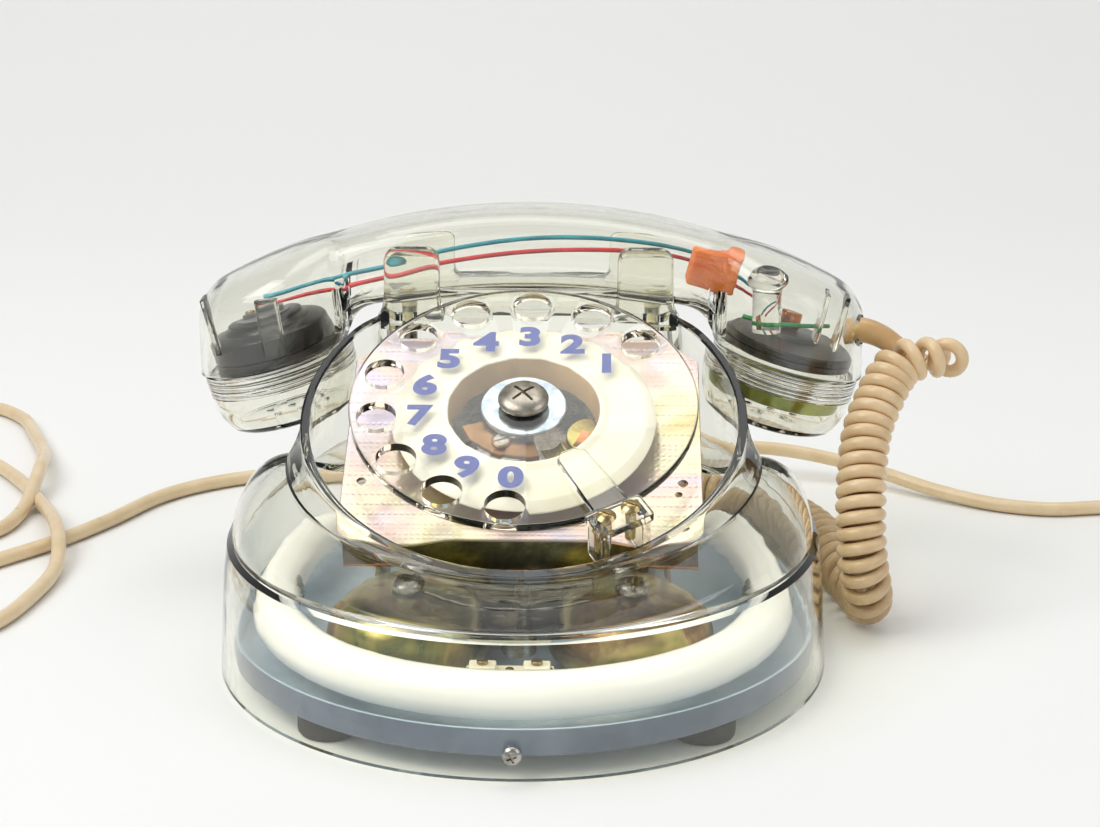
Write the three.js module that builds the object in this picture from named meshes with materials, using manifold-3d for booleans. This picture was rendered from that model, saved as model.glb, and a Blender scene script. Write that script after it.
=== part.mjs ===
// Clear-cased rotary telephone with a ring lamp in its base. Millimetres, +Z up, front towards -Y.
// Each piece is a closed solid in its own named mesh. Shapes are first laid out about the axis of the
// round front of the base, and one outer group then centres the whole telephone on the origin.
import * as THREE from 'three';
import { mergeVertices } from 'three/addons/utils/BufferGeometryUtils.js';
import Module from 'manifold-3d';

const wasm = await Module();
wasm.setup();

// ---------- driving dimensions ----------
const WALL = 2.8; // clear moulding thickness
const GAP = 0.3; // clearance between touching pieces
const CENTRE_Y = -9.5; // moves the round front's axis so that the whole is centred on the origin

const BASE_R = 96; // round front of the base
const BASE_REAR = 115; // reach of the base behind that axis
const BASE_POWER = 2.4; // fullness of the rear outline
const SKIRT_Z = 1; // bottom rim of the case
const LEDGE_Z = 43; // step above the skirt
const LEDGE_SCALE = 0.948;

const DIAL_TILT = THREE.MathUtils.degToRad(25.2);
const DIAL_Y = 8.6; // centre of the finger wheel's top face
const DIAL_Z = 81.8;
const WELL_R = 70.5; // outside of the turret wall at the dial well's mouth
const WELL_DEPTH = 6; // mouth below the wheel's top face
const WHEEL_R = 55;
const WHEEL_T = 3;
const HOLE_R = 6.3;
const HOLE_RING_R = 46.5;
const FIRST_HOLE = 37.6; // degrees, hole of the digit 1
const HOLE_STEP = 25.24;

const DECK_Z = 95.5; // floor of the cradle
const HORN_TOP = 119;
const NECK_HALF = 48.5; // half width of the neck under the handset
const NECK_REAR = 105.5;

const HANDSET_Y = 80; // handset centre line
const HANDSET_HALF = 113;
const HANDLE_HALF = 15.5; // half depth of the handle
const ARCH_TOP = 128.7;
const ARCH_CURVE = 0.0024;
const UNDER_TOP = 100.7;
const UNDER_CURVE = 0.0018;
const CUP_X = 87.5;
const CUP_R = 25.4;
const CUP_TILT = THREE.MathUtils.degToRad(15);
const SEAM_Z = 76.8; // centre of the seam between cup and cap

const TUBE_R = 7.2; // ring lamp glass
const TUBE_SCALE = 0.815; // lamp ring as a share of the base outline
const TUBE_Z = 20;
const PAN_SCALE = 0.952;
const PAN_FLOOR = 6.6;
const PAN_RIM = 15.4;

const CORD_R = 2.6;
const CURL_R = 8.6; // outer radius of the curly cord

// ---------- materials ----------
const paint = (color, roughness, metalness = 0, opacity = 1) =>
  new THREE.MeshStandardMaterial({ color, roughness, metalness, opacity, transparent: opacity < 1 });
const CLEAR = paint(0xdfe0d2, 0.08, 0, 0.35);
const ZINC = paint(0xcfc6a4, 0.4, 0.9);
const BRASS = paint(0xb08a3c, 0.35, 0.9);
const STEEL = paint(0xb9b9b6, 0.3, 0.95);
const COPPER = paint(0xa5653a, 0.35, 0.9);
const PAN_BLUE = paint(0x8fa1b0, 0.5, 0.6);
const LAMP = paint(0xf4f4f0, 0.25);
const CREAM = paint(0xf1ecd6, 0.4);
const BLACK = paint(0x1c1c1e, 0.45);
const RUBBER = paint(0x1a1612, 0.8);
const BEIGE = paint(0xddbf92, 0.35);
const ORANGE = paint(0xe0783c, 0.7);
const BOARD = paint(0xb98a4a, 0.6);

// ---------- helpers ----------
const phone = new THREE.Group();
const body = new THREE.Group();
body.position.set(0, CENTRE_Y, 0);
phone.add(body);

function add(name, geometry, material, parent = body, at = [0, 0, 0], turn = [0, 0, 0]) {
  const mesh = new THREE.Mesh(geometry, material);
  mesh.name = name;
  mesh.position.set(...at);
  mesh.rotation.set(...turn);
  parent.add(mesh);
  return mesh;
}

// Solid of revolution about Z from a closed outline of [radius, height] points.
function lathe(outline, segments = 32) {
  const points = outline.map(([r, z]) => new THREE.Vector2(r, z));
  const onAxis = points[0].x === 0 && points[points.length - 1].x === 0;
  if (!onAxis) points.push(points[0].clone());
  const area = outline.reduce((sum, [r, z], i) => {
    const [r2, z2] = outline[(i + 1) % outline.length];
    return sum + r * z2 - r2 * z;
  }, 0);
  if (area < 0) points.reverse();
  return new THREE.LatheGeometry(points, segments).rotateX(Math.PI / 2);
}

const rod = (radius, low, high, segments = 20) =>
  lathe([[0, low], [radius, low], [radius, high], [0, high]], segments);

const block = (w, d, h) => new THREE.BoxGeometry(w, d, h);

const outlineShape = (points) => new THREE.Shape(points.map(([x, y]) => new THREE.Vector2(x, y)));

const prism = (shape, low, high) =>
  new THREE.ExtrudeGeometry(shape, { depth: high - low, bevelEnabled: false, curveSegments: 10 })
    .translate(0, 0, low);

function circlePath(x, y, r, segments = 16, Kind = THREE.Path) {
  const points = [];
  for (let i = 0; i < segments; i += 1) {
    const a = (i / segments) * 2 * Math.PI;
    points.push(new THREE.Vector2(x + r * Math.cos(a), y + r * Math.sin(a)));
  }
  return new Kind(points);
}

// Round tube along a smooth curve through the points.
function tube(points, radius, steps, sides = 8) {
  const curve = new THREE.CatmullRomCurve3(points.map((p) => new THREE.Vector3(...p)), false, 'centripetal');
  return new THREE.ExtrudeGeometry(circlePath(0, 0, radius, sides, THREE.Shape), {
    steps, extrudePath: curve, bevelEnabled: false,
  });
}

function toSolid(geometry) {
  const bare = geometry.clone();
  for (const name of Object.keys(bare.attributes)) {
    if (name !== 'position') bare.deleteAttribute(name);
  }
  const merged = mergeVertices(bare, 1e-4);
  return new wasm.Manifold(new wasm.Mesh({
    numProp: 3,
    vertProperties: new Float32Array(merged.attributes.position.array),
    triVerts: new Uint32Array(merged.index.array),
  }));
}

function fromSolid(solid) {
  const { vertProperties, triVerts } = solid.getMesh();
  const geometry = new THREE.BufferGeometry();
  geometry.setAttribute('position', new THREE.BufferAttribute(new Float32Array(vertProperties), 3));
  geometry.setIndex(new THREE.BufferAttribute(new Uint32Array(triVerts), 1));
  return geometry;
}

const join = (...parts) => fromSolid(parts.map(toSolid).reduce((a, b) => a.add(b)));
const cut = (from, ...tools) => fromSolid(tools.map(toSolid).reduce((a, b) => a.subtract(b), toSolid(from)));
const common = (a, b) => fromSolid(toSolid(a).intersect(toSolid(b)));

const smooth = (t) => {
  const c = Math.min(Math.max(t, 0), 1);
  return c * c * (3 - 2 * c);
};

// ---------- outlines of the base and the neck ----------
// Base outline: a half circle in front and a fuller curve behind; turn 0 is the right side.
function basePoint(turn, scale = 1) {
  const c = Math.cos(turn);
  const s = Math.sin(turn);
  if (s <= 0) return [BASE_R * scale * c, BASE_R * scale * s];
  const power = 2 / BASE_POWER;
  return [BASE_R * scale * Math.sign(c) * Math.abs(c) ** power, BASE_REAR * scale * s ** power];
}

// Rear face of the case at a given side distance, where the cords come out.
const rearFace = (x) => BASE_REAR * (1 - (Math.abs(x) / BASE_R) ** BASE_POWER) ** (1 / BASE_POWER) - 0.4;

const WELL_Y = DIAL_Y + WELL_DEPTH * Math.sin(DIAL_TILT);
const WELL_Z = DIAL_Z - WELL_DEPTH * Math.cos(DIAL_TILT);

// Turret outline: the tilted dial circle seen from above, joined with the neck behind it.
function turretPoint(turn, round, half, rear, power) {
  const c = Math.cos(turn);
  const s = Math.sin(turn);
  const circle = round / Math.hypot(c, s / Math.cos(DIAL_TILT));
  let reach = circle;
  if (s > 0) {
    const neck = ((Math.abs(c) / half) ** power + (s / (rear - WELL_Y)) ** power) ** (-1 / power);
    reach = (circle ** 16 + neck ** 16) ** (1 / 16);
  }
  return [reach * c, WELL_Y + reach * s];
}

const FOOT_SIDE = 62; // height of the shoulder beside the turret
const FOOT_FRONT = 45.9;
const FOOT_REAR = 46.5;
function footHeight(turn) {
  const s = Math.sin(turn);
  if (s < 0) return FOOT_SIDE - (FOOT_SIDE - FOOT_FRONT) * (-s) ** 1.1;
  return FOOT_SIDE - (FOOT_SIDE - FOOT_REAR) * smooth(s / 0.6);
}

function rimHeight(y) {
  const plane = WELL_Z + (y - WELL_Y) * Math.tan(DIAL_TILT);
  return -Math.log(Math.exp(-plane) + Math.exp(-DECK_Z));
}

// One ring of the case: level 0 to 1 is the skirt, 1 to 2 the shoulder and 2 to 3 the turret wall.
function caseRing(level, inset, count) {
  const ring = [];
  for (let i = 0; i < count; i += 1) {
    const turn = (i / count) * 2 * Math.PI;
    const ledge = basePoint(turn, LEDGE_SCALE - inset / BASE_R);
    const flare = level > 2 ? (3 - level) ** 2 : 1;
    const wall = turretPoint(turn, WELL_R + 5 * flare - inset, NECK_HALF + 7.5 * flare - inset,
      NECK_REAR + 3 * flare - inset, 8 - 4 * flare);
    if (level <= 1) {
      const scale = level < 1 ? 1 - 0.025 * level - 0.01 * level ** 8 : LEDGE_SCALE;
      const [x, y] = basePoint(turn, scale - inset / BASE_R);
      ring.push([x, y, SKIRT_Z + (LEDGE_Z - 1 - SKIRT_Z) * level + (level < 1 ? 0 : 1)]);
    } else if (level <= 2) {
      const a = (level - 1) * Math.PI / 2;
      const k = Math.cos(a);
      const top = footHeight(turn) - inset;
      ring.push([wall[0] + (ledge[0] - wall[0]) * k, wall[1] + (ledge[1] - wall[1]) * k,
        LEDGE_Z - inset * 0.4 + (top - LEDGE_Z + inset * 0.4) * Math.sin(a)]);
    } else {
      const low = footHeight(turn) - inset;
      ring.push([...wall, low + (rimHeight(wall[1]) - low) * (level - 2)]);
    }
  }
  return ring;
}

// Closed skin through rings of equal size, joined round both ways.
function ringSkin(rings) {
  const count = rings[0].length;
  const positions = rings.flat(2);
  const index = [];
  rings.forEach((_, j) => {
    const next = (j + 1) % rings.length;
    for (let i = 0; i < count; i += 1) {
      const k = (i + 1) % count;
      const [a, b, c, d] = [j * count + i, j * count + k, next * count + k, next * count + i];
      index.push(a, b, c, a, c, d);
    }
  });
  const geometry = new THREE.BufferGeometry();
  geometry.setAttribute('position', new THREE.Float32BufferAttribute(positions, 3));
  geometry.setIndex(index);
  return geometry;
}

// ---------- case ----------
const CASE_COUNT = 36;
const outerLevels = [0, 0.6, 0.999, 1, 1.2, 1.45, 1.7, 1.9, 2.1, 2.4, 3];
const innerLevels = [3, 2.4, 2.05, 1.8, 1.5, 1.25, 1.05, 0.9, 0];
const caseSkin = ringSkin([
  ...outerLevels.map((level) => caseRing(level, 0, CASE_COUNT)),
  ...innerLevels.map((level) => caseRing(level, WALL, CASE_COUNT)),
]);

const hornBlock = (x, low, high, side) => {
  const half = 9.2;
  const shape = new THREE.Shape();
  shape.moveTo(-half - 1.2, 0);
  shape.lineTo(half + 1.2, 0);
  shape.lineTo(half, HORN_TOP - 94 - 4);
  shape.quadraticCurveTo(half, HORN_TOP - 94, half - 5, HORN_TOP - 94);
  shape.lineTo(-half + 5, HORN_TOP - 94);
  shape.quadraticCurveTo(-half, HORN_TOP - 94, -half, HORN_TOP - 94 - 4);
  return new THREE.ExtrudeGeometry(shape, { depth: high - low, bevelEnabled: false, curveSegments: 4 })
    .rotateX(Math.PI / 2).translate(x * side, high, 94);
};
const HORN_FRONT = [56, 63.9];
const HORN_BACK = [96.1, 104.3];
const horns = [-1, 1].flatMap((side) => [
  hornBlock(38.6, ...HORN_FRONT, side), hornBlock(36, ...HORN_BACK, side)]);

const LIP_Y = 60;
const deckOutline = [[-40.4, LIP_Y], [40.4, LIP_Y], [46.8, 68], [47.2, 90], [44, 100.5], [34, 104.2],
  [-34, 104.2], [-44, 100.5], [-47.2, 90], [-46.8, 68]];
const PLUNGER_X = 41;
const deckShape = outlineShape(deckOutline);
deckShape.holes.push(circlePath(PLUNGER_X, HANDSET_Y, 3), circlePath(-PLUNGER_X, HANDSET_Y, 3));
const deck = prism(deckShape, DECK_Z - WALL, DECK_Z);
const deckLip = block(76, 3.2, 11.5).translate(0, LIP_Y + 1.6, 98.7);
const screwWay = (y) => rod(2.2, -8, 8, 12).rotateX(Math.PI / 2).translate(0, y, 9);
const cordWay = (x, r) => rod(r, -12, 12, 16).rotateX(Math.PI / 2).translate(x, BASE_REAR - 4, EXIT_Z);
const CURL_EXIT_X = 30;
const LINE_EXIT_X = -34;
const MAINS_EXIT_X = -15;
const EXIT_Z = 20; // height of the three cord exits
add('housing_shell', cut(join(caseSkin, deck, deckLip, ...horns), screwWay(-BASE_R), screwWay(BASE_REAR),
  cordWay(CURL_EXIT_X, 5.3), cordWay(LINE_EXIT_X, 5.3), cordWay(MAINS_EXIT_X, 5.3)), CLEAR);

// ---------- base pan, feet and case screws ----------
const ringOf = (scale, z, count = 36) => {
  const ring = [];
  for (let i = 0; i < count; i += 1) ring.push([...basePoint((i / count) * 2 * Math.PI, scale), z]);
  return ring;
};
const panWall = ringSkin([ringOf(PAN_SCALE, PAN_FLOOR), ringOf(PAN_SCALE, PAN_RIM),
  ringOf(PAN_SCALE - 0.016, PAN_RIM), ringOf(PAN_SCALE - 0.016, PAN_FLOOR)]);
const panFloor = prism(outlineShape(ringOf(PAN_SCALE - 0.008, 0).map(([x, y]) => [x, y])), PAN_FLOOR,
  PAN_FLOOR + 1.4);
add('base_pan', join(panWall, panFloor), PAN_BLUE);

const FEET = [[55, -60], [-55, -60], [58, 72], [-58, 72]];
FEET.forEach(([x, y], i) => add(`rubber_foot_${i + 1}`,
  lathe([[0, 0], [8.2, 0], [9.2, 1.2], [9.2, PAN_FLOOR - GAP], [0, PAN_FLOOR - GAP]], 16), RUBBER, body, [x, y, 0]));

const screwHead = lathe([[0, 1.9], [1.7, 1.6], [2.9, 0.8], [2.9, GAP], [1.5, GAP], [1.5, -4.2], [0, -4.2]], 14);
add('case_screw_front', screwHead.clone().rotateX(Math.PI / 2), STEEL, body, [0, -BASE_R, 9]);
add('case_screw_rear', screwHead.clone().rotateX(-Math.PI / 2), STEEL, body, [0, BASE_REAR, 9]);

// ---------- ring lamp ----------
const lampPath = [];
for (let i = 0; i <= 36; i += 1) {
  const turn = THREE.MathUtils.degToRad(97 + i * (346 / 36));
  const [x, y] = basePoint(turn, TUBE_SCALE);
  lampPath.push([x, y * (y > 0 ? 0.93 : 1), TUBE_Z]);
}
add('lamp_tube', tube(lampPath, TUBE_R, 38, 8), LAMP);
const [lampEndX, lampEndY] = lampPath[0];
const socketHalf = -lampEndX - 1.8;
add('lamp_socket', join(rod(8.2, -socketHalf, 6 - socketHalf, 16).rotateY(Math.PI / 2),
  rod(8.2, socketHalf - 6, socketHalf, 16).rotateY(Math.PI / 2), block(2 * socketHalf - 6, 10, 12)), CREAM, body,
[0, lampEndY, TUBE_Z]);

// ---------- dial ----------
const dial = new THREE.Group();
dial.position.set(0, DIAL_Y, DIAL_Z);
dial.rotation.x = DIAL_TILT;
body.add(dial);

const holeTurn = (digit) => THREE.MathUtils.degToRad(FIRST_HOLE + HOLE_STEP * (digit - 1));
const wheelShape = circlePath(0, 0, WHEEL_R, 40, THREE.Shape);
for (let digit = 1; digit <= 10; digit += 1) {
  const a = holeTurn(digit);
  wheelShape.holes.push(circlePath(HOLE_RING_R * Math.cos(a), HOLE_RING_R * Math.sin(a), HOLE_R, 12));
}
wheelShape.holes.push(circlePath(0, 0, 3.4, 12));
add('finger_wheel', prism(wheelShape, -WHEEL_T, 0), CLEAR, dial);
add('wheel_screw', lathe([[0, 3.8], [3, 3.5], [6, 2.4], [7.9, 0.9], [7.9, GAP], [2.8, GAP], [2.8, -3.1], [0, -3.1]],
  20), STEEL, dial);
add('hub_plate', lathe([[3.4, -4.4], [13.5, -4.4], [13.5, -WHEEL_T - GAP], [3.4, -WHEEL_T - GAP]], 24), STEEL, dial);
add('dial_spindle', join(rod(3, -29, -WHEEL_T - 0.6, 14), rod(15.6, -25, -22.6, 30)), STEEL, dial);
add('number_dish', lathe([[22.4, -14], [24, -4.4], [25.4, -4.4], [26.6, -5.6], [38.5, -6], [41, -8.4], [39.6, -8.4],
  [37.8, -7.4], [26, -7.2], [24.2, -8.4], [23.8, -14]], 26), CREAM, dial);

// crescent of the pulsing cam, with its fixing screw
const camShape = new THREE.Shape();
camShape.absarc(0, 0, 20.5, THREE.MathUtils.degToRad(200), THREE.MathUtils.degToRad(285), false);
camShape.absarc(0, 0, 12.6, THREE.MathUtils.degToRad(285), THREE.MathUtils.degToRad(200), true);
const camHead = rod(3, -6.6, -4.8, 14).translate(-6.6, -14.2, 0);
add('pulse_cam', join(prism(camShape, -7.4, -5.8), camHead), BRASS, dial);
add('contact_clip', block(9, 4.4, 1.6), BRASS, dial, [10.4, -13.6, -9.6], [0, 0, 0.5]);
add('contact_spring', block(3, 7, 1.2), COPPER, dial, [18, -8, -9.6], [0, 0, -0.4]);

// chassis plate with its folded front lip
const PLATE_Z = -13.2;
const plateShape = new THREE.Shape();
plateShape.moveTo(-56, -44);
plateShape.quadraticCurveTo(-56, -50.4, -49, -50.4);
plateShape.lineTo(-36, -50.4);
plateShape.quadraticCurveTo(-28, -48, -20, -48);
plateShape.lineTo(24, -48);
plateShape.quadraticCurveTo(32, -50.4, 40, -50.4);
plateShape.lineTo(49, -50.4);
plateShape.quadraticCurveTo(56, -50.4, 56, -44);
plateShape.lineTo(56, 34);
plateShape.lineTo(45, 45);
plateShape.lineTo(-45, 45);
plateShape.lineTo(-56, 34);
plateShape.holes.push(circlePath(0, 0, 29, 24));
[[50, -23, 1.6], [48.6, -28, 1.2], [50, -43, 1.4], [-50, -23, 1.6]].forEach(([x, y, r]) =>
  plateShape.holes.push(circlePath(x, y, r, 8)));
const plate = prism(plateShape, PLATE_Z - 1.2, PLATE_Z);
const lip = block(109, 1.2, 14).translate(0, -47.3, PLATE_Z - 7.6);
add('chassis_plate', join(plate, lip), ZINC, dial);
add('dial_case', lathe([[0, -33], [34, -33], [34, PLATE_Z - 1.2 - GAP], [32.8, PLATE_Z - 1.2 - GAP], [32.8, -31.8],
  [0, -31.8]], 28), STEEL, dial);
const GOVERNOR_X = 20.6;
add('governor', join(rod(4.6, -26, -21.6, 16), rod(8, -21.6, -15, 18), rod(1.4, -30.5, -26, 10)), BRASS, dial,
  [GOVERNOR_X, 0, 0]);

// finger stop on two posts outside the wheel
const stop = new THREE.Group();
stop.rotation.z = THREE.MathUtils.degToRad(-60.6);
dial.add(stop);
const tongue = outlineShape([[29.4, -3.4], [31.5, -5], [57, -6], [57, 6], [31.5, 5], [29.4, 3.4]]);
const stopBody = join(prism(tongue, 1.2, 3.4), block(10.5, 19, 3).translate(61.4, 0, 2.2),
  block(9, 3, 14).translate(61.4, 7, -5.7), block(9, 3, 14).translate(61.4, -7, -5.7));
add('finger_stop', stopBody, CLEAR, stop);
[[4.2, 'a'], [-4.2, 'b']].forEach(([y, word]) => add(`stop_screw_${word}`,
  lathe([[0, 5.4], [2, 5], [3.1, 4.2], [3.1, 3.7 + GAP], [0, 3.7 + GAP]], 14), STEEL, stop, [60.8, y, 0]));

// ---------- chassis legs ----------
[[-1, 'left'], [1, 'right']].forEach(([side, word]) => {
  const leg = outlineShape([[0, PAN_FLOOR + 1.7], [38, PAN_FLOOR + 1.7], [38, 79], [0, 61.2]]);
  add(`chassis_leg_${word}`, prism(leg, -0.8, 0.8).rotateX(Math.PI / 2).rotateZ(Math.PI / 2), ZINC, body,
    [side * 46, 0, 0]);
});

// ---------- ringer ----------
const GONG_X = 34;
const GONG_Y = -28;
const gong = () => lathe([[3, 18], [14, 17.4], [21, 14.6], [25, 8], [25.4, 0], [24, 0], [23.6, 7.6], [20, 13.2],
  [13.6, 16], [3, 16.6]], 24);
const gongBolt = () => lathe([[0, PAN_FLOOR + 1.7], [4.4, PAN_FLOOR + 1.7], [4.4, 30.2], [2.7, 30.2],
  [2.7, 32 + GAP], [5, 32 + GAP], [5, 33.4], [3.4, 35], [0, 35.4]], 12);
[[-1, 'left'], [1, 'right']].forEach(([side, word]) => {
  add(`gong_${word}`, gong(), BRASS, body, [side * GONG_X, GONG_Y, 14]);
  add(`gong_bolt_${word}`, gongBolt(), STEEL, body, [side * GONG_X, GONG_Y, 0]);
});
add('ringer_frame', join(block(48, 3, 26).translate(0, 24, 22), block(48, 24, 2).translate(0, 13, 10)), STEEL, body);
[[-1, 'left'], [1, 'right']].forEach(([side, word]) => add(`ringer_coil_${word}`,
  join(rod(9, -8, 8, 18), rod(11, -10, -8, 18), rod(11, 8, 10, 18)).rotateX(Math.PI / 2), COPPER, body,
  [side * 12, 12, 23]));
add('clapper', join(block(2.4, 34, 1.6).translate(0, -17, 0), rod(5.4, -4, 4, 16).translate(0, -34, 0),
  rod(2.6, -3, 3, 12)), STEEL, body, [0, -4, 20]);
add('terminal_block', join(block(26, 9, 9), block(8, 6, 4).translate(-8, 0, 5), block(8, 6, 4).translate(8, 0, 5)),
  CREAM, body, [-2, -58, 14]);

// ---------- rear electrics ----------
add('circuit_board', block(80, 30, 1.6), BOARD, body, [0, 46, 14]);
add('lamp_transformer', join(block(34, 26, 24), block(42, 18, 16)), STEEL, body, [22, 46, 27.2]);
add('capacitor', rod(7, -15, 15, 16).rotateY(Math.PI / 2), CREAM, body, [-24, 40, 22.4]);
add('induction_coil', join(rod(6, -9, 9, 16), block(20, 14, 3).translate(0, 0, -9), block(20, 14, 3).translate(0, 0, 9)),
  COPPER, body, [-24, 54, 25.6]);

// ---------- hook switch ----------
const plunger = (side) => rod(2.4, 0, 20, 14).translate(side * PLUNGER_X, HANDSET_Y, 77);
add('hook_bar', join(block(87, 8, 3).translate(0, HANDSET_Y, 75.6), plunger(-1), plunger(1)), STEEL);
add('hook_switch', join(block(22, 14, 14).translate(0, HANDSET_Y - 4, 64), block(30, 2, 63).translate(0, 70, 39.8),
  block(30, 8, 1.6).translate(0, 67, PAN_FLOOR + 2.5)), CREAM);

// ---------- handset ----------
const handset = new THREE.Group();
handset.position.set(0, HANDSET_Y, 0);
body.add(handset);
const archTop = (x) => ARCH_TOP - ARCH_CURVE * x * x;
const underside = (x) => UNDER_TOP - UNDER_CURVE * x * x;
const seamHeight = (x) => SEAM_Z - (Math.abs(x) - CUP_X) * Math.tan(CUP_TILT);

// Side view of the handset, moved inwards by a wall; the inner one runs out through the cup mouths.
function handsetSide(wall, mouth) {
  const end = HANDSET_HALF - wall;
  const neck = 62.3 + wall;
  const line = [];
  for (let i = -10; i <= 10; i += 1) line.push([(i / 10) * end, archTop((i / 10) * end) - wall]);
  line.push([end, seamHeight(end) - mouth], [neck, seamHeight(neck) - mouth], [neck - 3.5, 92 + wall]);
  for (let i = 5; i >= -5; i -= 1) line.push([i * 10.8, underside(i * 10.8) + wall]);
  line.push([-neck + 3.5, 92 + wall], [-neck, seamHeight(neck) - mouth], [-end, seamHeight(end) - mouth]);
  return outlineShape(line);
}
function handsetPlan(wall) {
  const line = [];
  for (let side = 1; side >= -1; side -= 2) {
    for (let i = -6; i <= 6; i += 1) {
      const a = THREE.MathUtils.degToRad(i * 20);
      line.push([side * (CUP_X + (CUP_R + 0.1 - wall) * Math.cos(a)), side * (CUP_R + 0.1 - wall) * Math.sin(a)]);
    }
    line.push([side * 58, side * (HANDLE_HALF - wall)]);
    line.push([-side * 58, side * (HANDLE_HALF - wall)]);
  }
  return outlineShape(line);
}
const handsetSolid = (wall, mouth) => common(
  prism(handsetSide(wall, mouth), -40, 40).rotateX(Math.PI / 2), prism(handsetPlan(wall), 40, 140));
const cordEye = rod(5.2, -8, 8, 14).rotateY(Math.PI / 2).translate(HANDSET_HALF - 2, -6, 87.5);
add('handset_shell', cut(handsetSolid(0, 0), handsetSolid(WALL, 6), cordEye), CLEAR, handset);

[[-1, 'ear'], [1, 'mouth']].forEach(([side, word]) => {
  const cup = new THREE.Group(); // local +Z looks out of the cup's mouth
  cup.position.set(side * CUP_X, 0, SEAM_Z);
  cup.rotation.y = Math.PI + side * CUP_TILT;
  handset.add(cup);
  const shell = lathe([[25.4, GAP + 0.2], [25.2, 9], [23.6, 17], [20.2, 22], [0, 22], [0, 19.8], [18.8, 19.8], [21.4, 15.8],
    [22.9, 8.6], [23, GAP + 0.2]], 24);
  const sound = [[0, 0]];
  for (let i = 0; i < 6; i += 1) sound.push([8 * Math.cos(i * Math.PI / 3), 8 * Math.sin(i * Math.PI / 3)]);
  add(`${word}_cap`, cut(shell, ...sound.map(([x, y]) => rod(1.4, 15, 26, 6).translate(x, y, 0))), CLEAR, cup);
  if (side < 0) {
    add('receiver_capsule', lathe([[0, -14], [13, -14], [15, -11.6], [20.4, -10], [20.4, 2], [17, 4], [0, 4]], 20),
      BLACK, cup);
  } else {
    add('microphone_capsule', lathe([[0, -9], [9, -9], [11, -7.4], [21.4, -6.4], [21.4, -1.5], [0, -1.5]], 20),
      BLACK, cup);
    add('contact_ring', lathe([[18.4, 8], [21.4, 8], [21.4, 13], [18.4, 13]], 20), BRASS, cup);
    add('contact_post', rod(3.6, -16.5, -9 - GAP, 14), COPPER, cup, [2, 3, 0]);
  }
});
add('foam_block', block(17.5, 12, 12), ORANGE, handset, [62, -4, 108], [0, 0.25, 0]);

// ---------- cords ----------
// Bend guard of the handset cord, from the handset's eye outwards.
const guardPath = [[HANDSET_HALF - 7, 74, 87.5], [113, 74, 87.4], [119, 72.8, 85.4], [127, 69, 80.5], [133, 64.5, 78.6]];
add('handset_guard', tube(guardPath, 3.9, 10, 10), BEIGE);

// Curly cord: out of the guard, down in front of the handset's end, back along the table and in at the rear.
const CURL_Z = CURL_R + 0.1;
const curlPath = [[135.5, 61, 79.5], [137, 55, 81], [133.5, 50.8, 83], [128, 49.6, 84], [122.7, 48.6, 83],
  [119.2, 46.5, 79.4], [114.8, 41, 72.6], [111.1, 35, 65], [109.1, 28, 56.2], [108.2, 20.5, 44.7], [108.2, 17, 36],
  [108.9, 15.2, 27], [110.6, 16.6, 17.5], [111.8, 22.5, 10.4], [110.2, 34, CURL_Z], [106.4, 50, CURL_Z],
  [104, 70, CURL_Z], [100, 92, CURL_Z], [90, 112, CURL_Z], [74, 127, CURL_Z], [56, 136, CURL_Z + 0.6],
  [41, 138, 12.4], [32.5, 132, 17.4], [CURL_EXIT_X, 123.6, EXIT_Z]];
add('curly_cord', tube(curlPath, CURL_R, 42, 10), BEIGE);

[['curl', CURL_EXIT_X], ['line', LINE_EXIT_X], ['mains', MAINS_EXIT_X]].forEach(
  ([word, x]) => add(`${word}_grommet`, lathe([[0, -2.4], [5, -2.4], [5, 1.6], [6.6, 1.6], [6.6, 3], [3.2, 8.2], [0, 8.2]],
    16).rotateX(-Math.PI / 2), BEIGE, body, [x, rearFace(x), EXIT_Z]));

// Telephone line: along the table to the left, in two loose loops, then into its coil.
const FLOOR_CORD = CORD_R + 0.1;
const OVER = 3.1 * CORD_R; // height of a cord passing over another
const linePath = [[LINE_EXIT_X, rearFace(LINE_EXIT_X) + 8.5, EXIT_Z], [-34.4, 127, 19.2], [-38, 142, 14.6], [-51, 157, 8.6],
  [-75, 167, 3.6], [-106, 165, FLOOR_CORD], [-127, 154, FLOOR_CORD], [-141, 140, FLOOR_CORD], [-155, 114, FLOOR_CORD],
  [-169, 92, FLOOR_CORD], [-187, 71, FLOOR_CORD], [-203, 50, FLOOR_CORD], [-212, 26, FLOOR_CORD],
  [-205, 4, FLOOR_CORD], [-187, -1, FLOOR_CORD], [-174, 14, FLOOR_CORD], [-167, 38, FLOOR_CORD],
  [-164, 62, 3.6], [-166, 78, 6.6], [-170, 93, OVER], [-176, 110, 6.6], [-184, 130, 3.4], [-195, 152, FLOOR_CORD],
  [-210, 174, FLOOR_CORD], [-229, 194, FLOOR_CORD], [-247, 217, FLOOR_CORD], [-249, 242, FLOOR_CORD],
  [-231, 250, FLOOR_CORD], [-215, 236, FLOOR_CORD], [-204, 212, FLOOR_CORD], [-196, 190, 3.6], [-192, 172, 6.6],
  [-190, 158, OVER], [-189, 143, 6.6], [-189, 124, 3.4], [-192, 106, FLOOR_CORD], [-199, 95, FLOOR_CORD],
  [-210, 90.6, FLOOR_CORD], [-224, 89.9, FLOOR_CORD], [-239.7, 89.9, FLOOR_CORD]];
add('line_cord', tube(linePath, CORD_R, 74, 8), BEIGE);

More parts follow.
